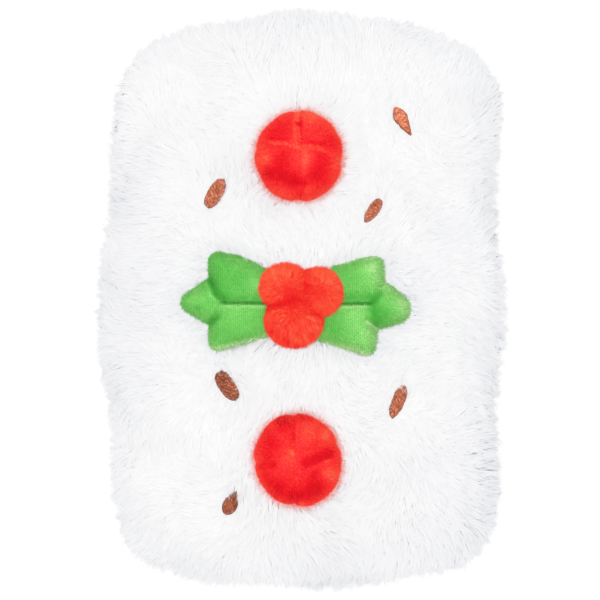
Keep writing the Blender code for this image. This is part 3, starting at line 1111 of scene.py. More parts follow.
# %% Make the leaves
# a painted highlight on the edges; painted shade in the rib's groove and on the cloth underneath
LEAF_PAINTED_EDGE_LIGHT = 0.28
RIB_PAINTED_SHADE = 0.20
LEAF_UNDER_SHADE = 0.35
LEAF_FIBRES = 11000
LEAF_PILE = 0.0013
LEAF_PILE_WIDTH = (0.00020, 0.00034)
LEAF_FUZZ = 0.6  # how much longer the pile is at the rim
LEAF_LIFT = 1.6  # how far its pile turns up to the light
LEAF_ROW = 0.00130  # from one knitted row to the next
LEAF_ROW_SHADE = 0.13
LEAF_ROW_BOW = 0.0015  # how far the rows sway from straight
LEAF_ROW_SWAY = 0.0060  # over this length, times two pi


def make_leaf(node, heart, rib_end, rib_start, corners, valleys, level, painted_shading, strokes, draw):
    outline = rounded_outline(corners, LEAF_AROUND)
    shares = [(s, 1) for s in sorted(LEAF_TOP_SHARES)] + [(s, -1) for s in LEAF_UNDER_SHARES]
    rings = []
    shades = []
    for share, side in shares:
        points = outline * share
        if side > 0:
            lift, deep = leaf_heights(points, outline, rib_end, rib_start, valleys)
            if share > 0.999:
                lift = np.zeros(len(points))
            # painted light and shade: patches, strokes, the rib's groove, and a highlight on the edges facing
            # -Y
            edge = 1 - np.clip(rim_distance(points, outline) / LEAF_ROLL, 0, 1)
            painted_here = patches_at(points, painted_shading) + strokes_at(points, strokes)
            towards = points[:, 1] / np.abs(outline[:, 1]).max()
            light = LEAF_PAINTED_EDGE_LIGHT * edge**3 * (0.5 - 0.5 * towards)
            shades.append(level - RIB_PAINTED_SHADE * deep + painted_here + light)
        else:
            rim = np.clip(rim_distance(points, outline) / LEAF_ROLL, 0, 1)
            lift = -LEAF_BELLY * np.sqrt(1 - (1 - rim) ** 2)
            shades.append(np.full(len(points), LEAF_UNDER_SHADE))
        x = heart[0] + points[:, 0]
        y = heart[1] + points[:, 1]
        rings.append(np.stack([x, y, pile_top(x, y) + LEAF_RIM_LIFT + lift], 1))
    first = list(range(LEAF_AROUND))[::-1]
    last = [(len(rings) - 1) * LEAF_AROUND + number for number in range(LEAF_AROUND)]
    faces = grid_faces(0, len(rings), LEAF_AROUND) + [first, last]
    leaf = closed_piece(node + "_cloth", np.concatenate(rings), faces)
    settle(leaf, node, holly_minky, np.concatenate(shades))
    roots, normals = sow(leaf.data, LEAF_FIBRES, draw, lambda p, n: n[:, 2] > -0.3)
    lay = 0.6 * draw.normal(size=roots.shape) + np.array([0.5, -0.2, 0])
    rim = (1 - np.clip(normals[:, 2], 0, 1)) ** 2
    length = LEAF_PILE * (draw.uniform(0.6, 1.1, LEAF_FIBRES) * (1 + LEAF_FUZZ * rim))[:, None]
    bends = roots + (normals * 0.8 + lay * 0.25) * length * 0.55
    tips = roots + (normals * 0.8 + lay * 0.6) * length
    facing_up = unit(normals + (0, 0, LEAF_LIFT))
    widths = draw.uniform(*LEAF_PILE_WIDTH, LEAF_FIBRES)
    pile = blades(node + "_pile", roots, bends, tips, widths, facing_up, draw)
    flat = roots[:, :2] - heart
    # the pile gets the same painted light and shade, with darker roots and lighter tips
    shade = level + patches_at(flat, painted_shading) + strokes_at(flat, strokes)
    shade = shade + LEAF_PAINTED_EDGE_LIGHT * rim * (0.5 - 0.5 * normals[:, 1])
    bow = flat[:, 0] + LEAF_ROW_BOW * np.sin(flat[:, 1] / LEAF_ROW_SWAY)
    shade += draw.normal(0, 0.12, LEAF_FIBRES) + LEAF_ROW_SHADE * np.sin(2 * np.pi * bow / LEAF_ROW)
    settle(pile, node, holly_pile, blade_shades(shade - 0.1, shade, shade + 0.12))
    return outline + heart


leaf_draw = np.random.default_rng(61)
leaf_outlines = {node: make_leaf(node, draw=leaf_draw, **facts) for node, facts in LEAVES.items()}
for node, outline in leaf_outlines.items():
    print(node, "is", np.round(np.ptp(outline, axis=0) * 1000), "mm long and wide")

# %% [markdown]
# ## Stitched nuts
# The nuts are embroidered: brown stitches lie side by side over a low pad. Stripes in the finish of a
# plain oval would look printed, so each stitch is a strand of its own that rises out of the cloth and
# dives in again. Several short stitches share each row, and the places where they meet wander, so that
# no ridge shows across the nut.

# %% Nut sizes
STITCH_SPACING = 0.00050
STITCH_LENGTH = 0.0014
STITCH_WIDTH = 0.00060
STITCH_HEIGHT = 0.00030
STITCH_SINK = 0.0001
NUT_DOME = 0.0016
NUT_SKIRT = 0.0034
NUTS = {
    # For each nut in turn:
    # - its long axis from +X, in degrees, and its half length and half width
    # - how far its widest place lies towards the near end
    # - its power: 2 for an oval, less for pointed ends
    # - the way of its stitches from the long axis, in degrees, and its shade
    # - how unevenly the stitches start and end, as a share of the nut
    1: (-61, (0.0110, 0.0046), 0.33, 1.4, 75, 0.72, (0.06, 0.04)),
    2: (60, (0.0107, 0.0050), 0.0, 2.3, 64, 0.54, (0.04, 0.04)),
    3: (56, (0.0093, 0.0040), -0.12, 2.0, 80, 0.52, (0.06, 0.05)),
    4: (-55, (0.0109, 0.0054), 0.0, 2.3, 35, 0.31, (0.04, 0.04)),
    5: (67, (0.0120, 0.0045), -0.05, 2.0, 40, 0.48, (0.10, 0.12)),
    6: (68, (0.0098, 0.0050), 0.26, 1.8, 6, 0.30, (0.03, 0.32)),
}
nut_finish = cloth_finish(
    "nut_thread",
    [linear(108, 56, 40), linear(170, 101, 73), linear(230, 156, 118)],
    through=None,
    through_share=0.0,
    noise_scale=2400.0,
    noise_strength=0.4,
    roughness=0.55,
)
FRAME_STEP = 0.001


def pile_frame(x, y, turn):
    """The turn of a frame on the pile: z out of it, x along the turn from +X."""
    slope_x = (pile_top(x + FRAME_STEP, y) - pile_top(x - FRAME_STEP, y)) / (2 * FRAME_STEP)
    slope_y = (pile_top(x, y + FRAME_STEP) - pile_top(x, y - FRAME_STEP)) / (2 * FRAME_STEP)
    out = unit(np.array([-slope_x, -slope_y, 1.0]))
    along = np.array([math.cos(math.radians(turn)), math.sin(math.radians(turn)), 0.0])
    across = unit(np.cross(out, along))
    return np.stack([np.cross(across, out), across, out], 1)


# %% The form of a nut and of one stitch
STRAND_STEPS = 5
STRAND_SECTION = ((-1, -0.5), (-0.6, 0.6), (0, 1), (0.6, 0.6), (1, -0.5))  # aside and up, of a strand
# painted shade: on the sides of a thread, where it dives into the cloth, and at the nut's edge
STRAND_EDGE_PAINTED_SHADE = 0.20
STRAND_END_PAINTED_SHADE = 0.28
NUT_EDGE_PAINTED_SHADE = 0.30


def nut_reach(flat, shape):
    """How far out points of the plan are, from 0 in the middle to 1 at the nut's edge."""
    (length, width), skew, power = shape
    along = flat[:, 0] / length
    return power_sum(along + skew * (1 - np.minimum(along**2, 1)), flat[:, 1] / width, power)


def on_dome(flat, lift, shape):
    dome = NUT_DOME * np.sqrt(np.clip(1 - nut_reach(flat, shape) ** 2, 0, 1))
    return np.column_stack([flat, dome + lift])


def strand(start, end, side, shape):
    """The points of one stitch, and how much painted shade each one has."""
    share = np.linspace(0, 1, STRAND_STEPS)
    flat = start + (end - start) * share[:, None]
    dive = np.sin(np.pi * np.clip(share, 0.02, 0.98)) ** 0.5
    thick = STITCH_WIDTH / 2 * (0.6 + 0.4 * dive)
    lines = []
    painted_dark = []
    for offset, rise in STRAND_SECTION:
        aside = side * (offset * thick)[:, None]
        lines.append(on_dome(flat + aside, STITCH_HEIGHT * rise * dive - STITCH_SINK, shape))
        painted_dark.append(STRAND_EDGE_PAINTED_SHADE * (abs(offset) == 1) + STRAND_END_PAINTED_SHADE * (1 - dive))
    points = np.concatenate(lines)
    rim = np.clip(nut_reach(points[:, :2], shape) * 4 - 3, 0, 1)
    return points, np.concatenate(painted_dark) + NUT_EDGE_PAINTED_SHADE * rim


# %% Rows of stitches and the pad under them
PAD_AROUND = 48
PAD_SINK = 0.00025
PAD_SHARES = (0.25, 0.5, 0.75, 0.92, 0.99)
PAD_FOOT = 0.92  # how wide the pad's lower edge is, as a share of the nut


def stitch_ends(shape, way, side, ragged, draw):
    """Where the stitches that cover a nut start and end, row by row."""
    length = shape[0][0]
    run = np.linspace(-length, length, 161)
    for row in np.arange(-length, length, STITCH_SPACING):
        line = side * row + way * run[:, None]
        reach = nut_reach(line, shape)
        starts = np.flatnonzero(reach < 1 - ragged[0] * draw.uniform(0, 1))
        ends = np.flatnonzero(reach < 1 - ragged[1] * draw.uniform(0, 1))
        if len(starts) < 3 or len(ends) < 3 or ends[-1] - starts[0] < 3:
            continue
        start, end = line[starts[0]], line[ends[-1]]
        pieces = max(1, round(np.linalg.norm(end - start) / STITCH_LENGTH + draw.uniform(-0.3, 0.3)))
        cuts = np.linspace(0, 1, pieces + 1)
        cuts[1:-1] += draw.uniform(-0.35, 0.35, pieces - 1) / pieces
        for a, b in zip(cuts[:-1], cuts[1:]):
            yield start + (end - start) * a, start + (end - start) * b


def nut_pad(shape, ragged):
    """The pad under the stitches: rings of points from its middle to its edge, and down into the pile."""
    (length, width), skew, power = shape
    turns = np.linspace(0, 2 * np.pi, PAD_AROUND, endpoint=False)
    edge = np.stack([np.cos(turns), np.sin(turns)], 1)
    edge = edge / power_sum(edge[:, 0], edge[:, 1], power)[:, None]
    if skew:
        # solves along + skew * (1 - along**2) = edge for along
        edge[:, 0] = (1 - np.sqrt(1 - 4 * skew * (edge[:, 0] - skew))) / (2 * skew)
    edge = edge * (length, width)
    edge = edge * np.where(edge[:, :1] > 0, 1 - 0.8 * ragged[1], 1 - 0.8 * ragged[0])
    rings = [on_dome(edge * share, -PAD_SINK, shape) for share in PAD_SHARES]
    rings.append(np.column_stack([edge * PAD_FOOT, np.full(PAD_AROUND, -NUT_SKIRT)]))
    return np.concatenate(rings)


def pad_faces(first, rings):
    last = first + (rings - 1) * PAD_AROUND
    ends = [list(range(start, start + PAD_AROUND)) for start in (first, last)]
    return grid_faces(first, rings, PAD_AROUND) + ends


# %% Make the nuts
# painted shade on the pad, seen between the stitches
PAD_PAINTED_SHADE = 0.30
STITCH_TONES = 0.18  # how much the stitches differ in shade


def make_nut(number, turn, halves, skew, power, stitches, tone, ragged, draw):
    node = f"stitched_nut_{number}"
    centre = middle_of(node)
    axes = pile_frame(centre[0], centre[1], turn)
    shape = (halves, skew, power)
    angle = math.radians(stitches)
    way = np.array([math.cos(angle), math.sin(angle)])
    side = np.array([-way[1], way[0]])
    points = []
    faces = []
    shades = []
    count = 0
    for start, end in stitch_ends(shape, way, side, ragged, draw):
        found, painted_dark = strand(start, end, side, shape)
        points.append(found)
        shades.append(tone + draw.normal(0, STITCH_TONES) - painted_dark)
        faces += grid_faces(count, len(STRAND_SECTION), STRAND_STEPS, closed=False)
        count += len(found)
    pad = nut_pad(shape, ragged)
    points.append(pad)
    shades.append(np.full(len(pad), tone - PAD_PAINTED_SHADE))
    faces += pad_faces(count, len(pad) // PAD_AROUND)
    nut = closed_piece(node + "_stitches", np.concatenate(points) @ axes.T + centre, faces)
    settle(nut, node, nut_finish, np.concatenate(shades))
    return centre, axes, shape


nut_draw = np.random.default_rng(51)
nuts = {number: make_nut(number, *facts, nut_draw) for number, facts in NUTS.items()}

# %% [markdown]
# ## The pile of the loaf
# Long pile gathers in small tufts whose tips meet. Here it lies outwards from the middle of the loaf,
# as if stroked, with slow swirls. Brushed hair curves with guide hairs would do it in Blender, but
# blades need no guides: tufts are sown first, each with a lean of its own, then every fibre takes the
# lean of its nearest tuft, and its tip is drawn towards the tuft's tip.

# %% How the pile lies
TOP_TUFTS = 16000
FRINGE_TUFTS = 3600
FRINGE_SHORTER = 0.50  # how much shorter the pile is at the waist, where locks stand out of it
FRINGE_BELOW = 0.35  # the fringe is where the cloth's normal rises less than this
LEAN = 0.0090
SWIRL = 0.75
DROOP = 0.9  # how much the pile lies downwards, where it can
swirls = [wandering(seed, 0.060) for seed in (21, 22, 23)]
tuft_wander = wandering(24, 0.030)


def lie_of_pile(places, normals):
    """How far and which way the tips lie off their roots, along the cloth."""
    outward = np.stack([places[:, 0] / HALF_WIDTH, places[:, 1] / HALF_LENGTH, np.zeros(len(places))], 1)
    reach = np.linalg.norm(outward, axis=1, keepdims=True)
    outward = outward / np.maximum(reach, 1e-9)
    swirl = np.stack([field(places) for field in swirls], 1)
    way = outward + SWIRL * swirl + np.array([0, 0, -DROOP])
    return LEAN * unit(way - normals * (way * normals).sum(1, keepdims=True))


# %% [markdown]
# Fur that has been handled is tousled: it stands higher here and lower there, and parts in creases.
# Single fibres are too small to show this, so a smooth height over the loaf does. It lengthens the
# fibres a little, and the light on them turns with its slope, as it would on a rolling meadow.

# %% Where the pile is tousled
TOUSLE_WIDE = 0.0013
TOUSLE_FINE = 0.00036
CREASE_FADE = 0.04  # the creases come in over this height above the waist
SLOPE_STEP = 0.0005
STEEPEST = 0.45
tousle_wide = wandering(25, 0.042)
tousle_fine = wandering(26, 0.011)
CREASES = (
    # where the pile parts: from x, y to x, y, half width, depth
    (-0.0957, 0.0651, -0.0831, 0.0726, 0.0026, 0.0016),
    (-0.0831, 0.0726, -0.0692, 0.0714, 0.0026, 0.0013),
    (0.0333, 0.1318, 0.0490, 0.1456, 0.0030, 0.0012),
    (0.0773, 0.1475, 0.0962, 0.1412, 0.0024, 0.0015),
    (0.0962, 0.1412, 0.1162, 0.1418, 0.0024, 0.0013),
    (0.0767, 0.0732, 0.0912, 0.0594, 0.0020, 0.0015),
    (0.0962, 0.0732, 0.1081, 0.0575, 0.0020, 0.0014),
    (-0.0862, -0.0381, -0.0705, -0.0418, 0.0024, 0.0013),
    (-0.0705, -0.0418, -0.0529, -0.0431, 0.0024, 0.0012),
    (0.0301, -0.0670, 0.0540, -0.0626, 0.0030, 0.0014),
    (0.0647, -0.0494, 0.0868, -0.0443, 0.0034, 0.0016),
    (0.0679, -0.1400, 0.0842, -0.1343, 0.0026, 0.0014),
)


def tousled(places):
    """How much higher than usual the pile stands."""
    on_top = np.clip((places[:, 2] - WAIST) / CREASE_FADE, 0, 1)
    height = TOUSLE_WIDE * tousle_wide(places) + TOUSLE_FINE * tousle_fine(places)
    return height - strokes_at(places[:, :2], CREASES) * on_top


def slope_of_pile(places, normals):
    """How steeply the tousled pile rises, along the cloth."""
    steps = np.eye(3) * SLOPE_STEP
    rise = np.stack([tousled(places + step) - tousled(places - step) for step in steps], 1) / (2 * SLOPE_STEP)
    rise = rise - normals * (rise * normals).sum(1, keepdims=True)
    return rise / np.maximum(1, np.linalg.norm(rise, axis=1, keepdims=True) / STEEPEST)


# %% [markdown]
# The toppings are sewn through the fur, so the pile stands up along the balls, lies down under the
# leaves and parts round the nuts. A cloth simulation with collisions doesn't run on this many fibres.
# Instead each topping is a simple shape, and a fibre's bend and tip are moved out of it.

# %% Room for the balls
NEST_REACH = 0.0060
BALL_CLEARANCE = 0.0004


def beside_balls(roots):
    """How near to a ball's outline each root is, from 0 to 1."""
    nearness = np.zeros(len(roots))
    for centre, halves, turn in balls.values():
        reach = np.linalg.norm(ball_plan(roots, centre, halves), axis=1)
        gap = np.abs(reach - 1) * min(halves[:2])
        nearness = np.maximum(nearness, np.exp(-((gap / NEST_REACH) ** 2)))
    return nearness


def push_out_of_balls(points):
    for centre, halves, turn in balls.values():
        outside = np.array(halves) + BALL_CLEARANCE
        local = (points - centre) @ turn / outside
        reach = np.linalg.norm(local, axis=1, keepdims=True)
        local = np.where(reach < 1, local / np.maximum(reach, 1e-6), local)
        points = np.where(reach < 1, local * outside @ turn.T + centre, points)
    return points


# %% Room for the leaves
LEAF_SHADOW_REACH = 0.005
LEAF_SURROUNDINGS = 0.012  # how far from a leaf's box its shadow is worked out
LEAF_CLEARANCE = 0.0012
RIM_HAIR_REACH = 0.0016  # how far in from the rim a hair may lie on a leaf
RIM_HAIR_LIFT = 0.0028


def inside_outline(points, outline):
    """Whether points of the plan are inside a closed outline."""
    x, y = points[:, :1], points[:, 1:2]
    ends = np.roll(outline, -1, axis=0)
    crosses = (outline[:, 1] > y) != (ends[:, 1] > y)
    rise = np.where(ends[:, 1] == outline[:, 1], 1e-12, ends[:, 1] - outline[:, 1])
    at = (ends[:, 0] - outline[:, 0]) * (y - outline[:, 1]) / rise + outline[:, 0]
    return (crosses & (x < at)).sum(1) % 2 == 1


def beside_leaves(roots):
    """How near to a leaf's outline each root is, from 0 to 1."""
    nearness = np.zeros(len(roots))
    for outline in leaf_outlines.values():
        low, high = outline.min(0) - LEAF_SURROUNDINGS, outline.max(0) + LEAF_SURROUNDINGS
        inside = (roots[:, :2] > low) & (roots[:, :2] < high)
        near = np.flatnonzero(inside.all(1) & (roots[:, 2] > WAIST))
        gap = rim_distance(roots[near, :2], outline)
        nearness[near] = np.maximum(nearness[near], np.exp(-((gap / LEAF_SHADOW_REACH) ** 2)))
    return nearness


def press_under_leaves(points, over=None):
    """Keeps the pile under the leaves. Where over is true, a hair may lie on a leaf's rim."""
    points = points.copy()
    for outline in leaf_outlines.values():
        low, high = outline.min(0), outline.max(0)
        near = np.flatnonzero(((points[:, :2] > low) & (points[:, :2] < high)).all(1))
        under = near[inside_outline(points[near, :2], outline)]
        rim = pile_top(points[under, 0], points[under, 1]) + LEAF_RIM_LIFT
        points[under, 2] = np.minimum(points[under, 2], rim - LEAF_BELLY - LEAF_CLEARANCE)
        if over is not None:
            lucky = under[over[under]]
            lucky = lucky[rim_distance(points[lucky, :2], outline) < RIM_HAIR_REACH]
            rim = pile_top(points[lucky, 0], points[lucky, 1]) + LEAF_RIM_LIFT
            points[lucky, 2] = rim + RIM_HAIR_LIFT
    return points


# %% Room for the nuts
NUT_COVERS = {5: (66, 0.25), 6: (68, 0.25)}  # where pile grows over a nut: the way, and how far in
COMB_REACH = 0.0125
COMB_FADE = 0.004
COMB_STRENGTH = 1.15
NUT_LEVEL = 0.02  # how far above and below a nut the pile still belongs to its place


def covered(number, flat):
    """How far the pile may grow over a nut, for places round it, as a share of its half sizes."""
    side, most = NUT_COVERS.get(number, (0, 0))
    way = np.array([math.cos(math.radians(side)), math.sin(math.radians(side))])
    return most * np.clip(unit(flat) @ way, 0, 1) ** 5


def comb_round_nuts(roots, lie):
    """Turns the pile that would lie across a nut, so that it runs along the nut's edge."""
    for centre, axes, shape in nuts.values():
        local = (roots - centre) @ axes
        reach = np.maximum(nut_reach(local[:, :2], shape), 0.1)
        gap = np.linalg.norm(local[:, :2], axis=1) * (1 - 1 / reach)
        near = np.clip((COMB_REACH - gap) / COMB_FADE, 0, 1) * (np.abs(local[:, 2]) < NUT_LEVEL)
        away = unit(local * (shape[0][0] ** -2, shape[0][1] ** -2, 0)) @ axes.T
        length = np.linalg.norm(lie, axis=1, keepdims=True)
        inward = np.minimum((lie * away).sum(1), 0) * near
        lie = unit(lie - COMB_STRENGTH * away * inward[:, None]) * length
    return lie


# %% Keep the fibres off the nuts
NUT_SURROUNDINGS = 0.035  # roots farther away than this can't reach a nut
BEND_REACH = 1.02  # how far out bends and tips are kept, where 1 is the nut's edge
TIP_REACH = 1.05
CROSSING_REACH = 0.98  # a fibre that still comes farther in than this is left out
COVER_FROM = 1.04  # the same for the unluckiest fibre that may grow over a nut
COVER_ROOT_REACH = 1.7
LEAST_COVER = 0.06
COVER_HEIGHT = NUT_DOME + STITCH_HEIGHT + 0.0003


def keep_off_nuts(roots, bends, tips, luck):
    """Moves bends and tips off the nuts, and says which fibres then cross no nut.

    luck, from 0 to 1, is how far a fibre may grow over a covered end.
    """
    clear = np.ones(len(roots), bool)
    for number, (centre, axes, shape) in nuts.items():
        close = np.flatnonzero(np.linalg.norm(roots - centre, axis=1) < NUT_SURROUNDINGS)
        root, bend, tip = ((points[close] - centre) @ axes for points in (roots, bends, tips))
        cover = covered(number, (roots[close] - centre)[:, :2])
        root_reach = nut_reach(root[:, :2], shape)
        grows_over = (cover > LEAST_COVER) & (root_reach < COVER_ROOT_REACH)
        inner = root[:, :2] * ((COVER_FROM - cover * luck[close]) / np.maximum(root_reach, 0.1))[:, None]
        tip[:, :2] = np.where(grows_over[:, None], inner, tip[:, :2])
        bend[:, :2] = np.where(grows_over[:, None], (root[:, :2] + inner) / 2, bend[:, :2])
        for points, grow in ((bend, BEND_REACH), (tip, TIP_REACH)):
            reach = nut_reach(points[:, :2], shape)
            aside = (reach < grow) & ~grows_over
            points[:, :2] *= np.where(aside, grow / np.maximum(reach, 0.05), 1)[:, None]
            lifted = grows_over & (reach < 1.1)
            points[lifted, 2] = np.maximum(points[lifted, 2], COVER_HEIGHT)
        least = np.full(len(close), np.inf)
        for start, end in ((root, bend), (bend, tip)):
            for share in (0.25, 0.5, 0.75):
                reach = nut_reach((start + (end - start) * share)[:, :2], shape)
                least = np.minimum(least, reach)
        clear[close[(least < CROSSING_REACH) & ~grows_over]] = False
        bends[close] = bend @ axes.T + centre
        tips[close] = tip @ axes.T + centre
    return bends, tips, clear


HIDDEN_UNDER_BALL = 0.42  # as a share of the ball: no pile is needed nearer to its middle
ROOT_REACH = 0.97


def grows_free(roots):
    """Whether a root is clear of the balls and the nuts."""
    free = np.ones(len(roots), bool)
    for centre, halves, turn in balls.values():
        free &= np.linalg.norm(ball_plan(roots, centre, halves), axis=1) > HIDDEN_UNDER_BALL
    for centre, axes, shape in nuts.values():
        local = (roots - centre) @ axes
        free &= (nut_reach(local[:, :2], shape) > ROOT_REACH) | (np.abs(local[:, 2]) > NUT_LEVEL)
    return free


# %% [markdown]
# The top of the loaf has many small tufts, close to one another. At the waist, where the outline is
# seen, the tufts are larger and farther apart, so that the pile ends in points.

# %% Tufts
TUFT_LEAN = 0.0018  # how much the tufts' leans differ
TUFT_RISE = 0.06  # how much their heights wander
pile_draw = np.random.default_rng(11)


def sow_tufts(count, keep, uneven):
    roots, normals = sow(skin.data, count, pile_draw, keep)
    lie = lie_of_pile(roots, normals) + TUFT_LEAN * pile_draw.normal(size=roots.shape)
    rise = 1 + TUFT_RISE * tuft_wander(roots) + pile_draw.uniform(-uneven, uneven, count)
    return roots, lie, rise, tree_of(roots)


TUFT_KINDS = (
    # for the top and for the fringe: tufts, and how strongly tips gather at them, from least to most
    (sow_tufts(TOP_TUFTS, lambda p, n: n[:, 2] > FRINGE_BELOW - 0.1, 0.06), (0.0, 0.35)),
    (sow_tufts(FRINGE_TUFTS, lambda p, n: n[:, 2] < FRINGE_BELOW + 0.1, 0.25), (0.2, 0.7)),
)


def tuft_of(roots, normals):
    """For each root, the way to its tuft, the share of it that its tip goes, and the tuft's lie and rise."""
    to_tuft, lie = np.zeros_like(roots), np.zeros_like(roots)
    rise = np.ones(len(roots))
    for number, ((tuft_roots, tuft_lie, tuft_rise, tree), drawn) in enumerate(TUFT_KINDS):
        mine = np.flatnonzero((normals[:, 2] < FRINGE_BELOW) == number)
        nearest = nearest_of(tree, roots[mine])
        if len(mine):
            share = pile_draw.uniform(*drawn, len(mine))[:, None]
            to_tuft[mine] = (tuft_roots[nearest] - roots[mine]) * share
            lie[mine] = tuft_lie[nearest]
            rise[mine] = tuft_rise[nearest]
    return to_tuft, lie, rise


print("tufts:", TOP_TUFTS, "on top and", FRINGE_TUFTS, "at the waist")

# %% [markdown]
# A fibre of the pile has a root on the cloth, a bend two thirds of the way up and a tip that leans
# along. All fibres of a part of the loaf are grown together, in arrays. Their shade and light come
# next: the light turns up, as it does through deep fur, and the rest is painted into their shade:
# painted shade on the sides, patches of painted light and shade, painted light along the balls, and a
# painted shadow beside the leaves, which ambient occlusion could give in a render.

# %% Light and shade of the pile
PILE_LIFT = 0.70  # how far the pile turns up to the light
LEAST_LIFT = 0.5  # how far it turns up at least, except underneath
UNDERNEATH = -0.6  # where the cloth's normal rises less than this
SIDE_CALM = 0.3  # how much of its slope the light shows on the sides
SIDE_PAINTED_SHADE = 0.42  # painted shade on the sides, which turn away from the lamp above
SIDE_WIDER = 0.6  # how much wider its fibres are on the sides, where they show edge on
TOUSLE_SHADE = 0.07
NEST_PAINTED_LIGHT = 0.1  # painted light on the pile along the balls, against their shadow
LEAF_SHADOW = 0.6  # painted shadow on the pile beside the leaves
RIM_HAIRS = 0.12  # the share of the hairs at a leaf's rim that lie over it
FLOOR_CLEARANCE = 0.0008
FUR_WIDTH = (0.00056, 0.00086)
tousle_shade = wandering(27, 0.050)
FUR_PAINTED_SHADING = (
    # soft patches of painted light and shade over the pile: x, y, reach, strength
    (-0.0670, 0.1220, 0.0320, 0.22),
    (0.0620, 0.1000, 0.0300, 0.26),
    (-0.0700, -0.0880, 0.0360, 0.24),
    (-0.0830, -0.1390, 0.0220, 0.20),
    (0.0740, -0.0790, 0.0190, 0.28),
    (0.0000, 0.1500, 0.0300, 0.18),
    (-0.0460, 0.0780, 0.0130, -0.40),
    (-0.1180, 0.0600, 0.0250, -0.50),
    (-0.1120, 0.0020, 0.0280, -0.36),
    (0.1150, -0.0950, 0.0360, -0.55),
    (0.1180, 0.1300, 0.0200, -0.30),
    (0.1080, 0.0780, 0.0220, -0.36),
    (0.0950, 0.0300, 0.0350, -0.18),
    (0.1150, -0.0400, 0.0200, -0.25),
    (0.1000, -0.1480, 0.0280, -0.30),
    (0.0650, -0.0560, 0.0080, -0.50),
    (-0.0080, 0.1780, 0.0280, -0.32),
    (0.0300, -0.1780, 0.0300, -0.42),
    (-0.0500, -0.1760, 0.0220, -0.12),
    (-0.1000, -0.0950, 0.0200, 0.18),
    (-0.1050, -0.1520, 0.0180, -0.45),
    (-0.1020, -0.0500, 0.0220, -0.34),
    (0.0560, 0.0370, 0.0140, 0.32),
)


def finish_pile(name, roots, bends, tips, normals, lift=PILE_LIFT, side_painted_shade=SIDE_PAINTED_SHADE):
    """Makes the blades of one part of the pile, with their light, and their painted light and shade."""
    rising = np.clip(normals[:, 2], 0, 1)
    calm = (SIDE_CALM + (1 - SIDE_CALM) * rising)[:, None]
    facing_up = normals - slope_of_pile(roots, normals) * calm + (0, 0, lift)
    least = np.where(normals[:, 2] > UNDERNEATH, LEAST_LIFT, -np.inf)
    facing_up[:, 2] = np.maximum(facing_up[:, 2], least)
    # painted light and shade: patches, light along the balls, shadow by the leaves, shade on the sides
    painted_shading = patches_at(roots[:, :2], FUR_PAINTED_SHADING) * np.clip(3 * normals[:, 2], 0, 1)
    shade = FUR_SHADE + TOUSLE_SHADE * tousle_shade(roots) + painted_shading
    shade += NEST_PAINTED_LIGHT * beside_balls(roots) - LEAF_SHADOW * beside_leaves(roots)
    outward = np.clip(1 + 2 * normals[:, 2], 0.55, 1)
    shade -= side_painted_shade * (1 - rising) * outward * (0.55 + 0.45 * np.abs(normals[:, 0]))
    over = pile_draw.uniform(0, 1, len(roots)) < RIM_HAIRS
    bends, tips = press_under_leaves(bends), press_under_leaves(tips, over)
    bends[:, 2] = np.maximum(bends[:, 2], FLOOR_CLEARANCE)
    tips[:, 2] = np.maximum(tips[:, 2], FLOOR_CLEARANCE)
    widths = pile_draw.uniform(*FUR_WIDTH, len(roots)) * (1 + SIDE_WIDER * (1 - rising))
    piece = blades(name, roots, bends, tips, widths, unit(facing_up), pile_draw, roll=0.28, soft=0.96)
    settle(piece, "fur_loaf", white_fur, blade_shades(shade, shade, shade))


# %% Grow the pile
UNDERSIDE_PILE = 0.004
STRAYS = 0.03  # the share of the fibres that stand out of their tuft
STRAY_LONGER = 1.25
SHORTEST = 0.3  # as a share of the pile's depth
FIBRE_LEAN = 0.0022  # how much the fibres' leans differ
BEND_RISE = 0.68  # where the bend is, as shares of the tip's rise, lie and gathering
BEND_LIE = 0.36
BEND_GATHER = 0.4
NEST_RISE = 1.2  # how much longer the pile stands up along the balls


def grow_pile(name, count, keep, depth=PILE_DEPTH):
    roots, normals = sow(skin.data, count, pile_draw, keep)
    free = grows_free(roots)
    roots, normals = roots[free], normals[free]
    count = len(roots)
    gather, lie, rise = tuft_of(roots, normals)
    stray = np.where(pile_draw.uniform(0, 1, count) < STRAYS, STRAY_LONGER, 1.0)
    rise = rise * depth * pile_draw.uniform(0.8, 1.05, count) * stray
    rise = rise * (1 - FRINGE_SHORTER * np.clip(1 - np.abs(normals[:, 2]) / 0.5, 0, 1))
    rise = np.maximum(rise * (1 + NEST_RISE * beside_balls(roots)) + tousled(roots), depth * SHORTEST)
    lie = lie * (depth / PILE_DEPTH) * pile_draw.uniform(0.7, 1.15, (count, 1))
    lie = comb_round_nuts(roots, lie + FIBRE_LEAN * pile_draw.normal(size=roots.shape))
    bends = roots + normals * rise[:, None] * BEND_RISE + lie * BEND_LIE + gather * BEND_GATHER
    tips = roots + normals * rise[:, None] + lie + gather
    bends, tips = push_out_of_balls(bends), push_out_of_balls(tips)
    bends, tips, clear = keep_off_nuts(roots, bends, tips, pile_draw.uniform(0, 1, count) ** 1.5)
    finish_pile(name, roots[clear], bends[clear], tips[clear], normals[clear])


def facing(normals):
    """0 for the top, 1 for the sides, 2 for the ends, 3 for the underside."""
    level = np.abs(normals[:, 0]) > np.abs(normals[:, 1])
    return np.where(normals[:, 2] > 0.6, 0, np.where(normals[:, 2] < -0.75, 3, np.where(level, 1, 2)))


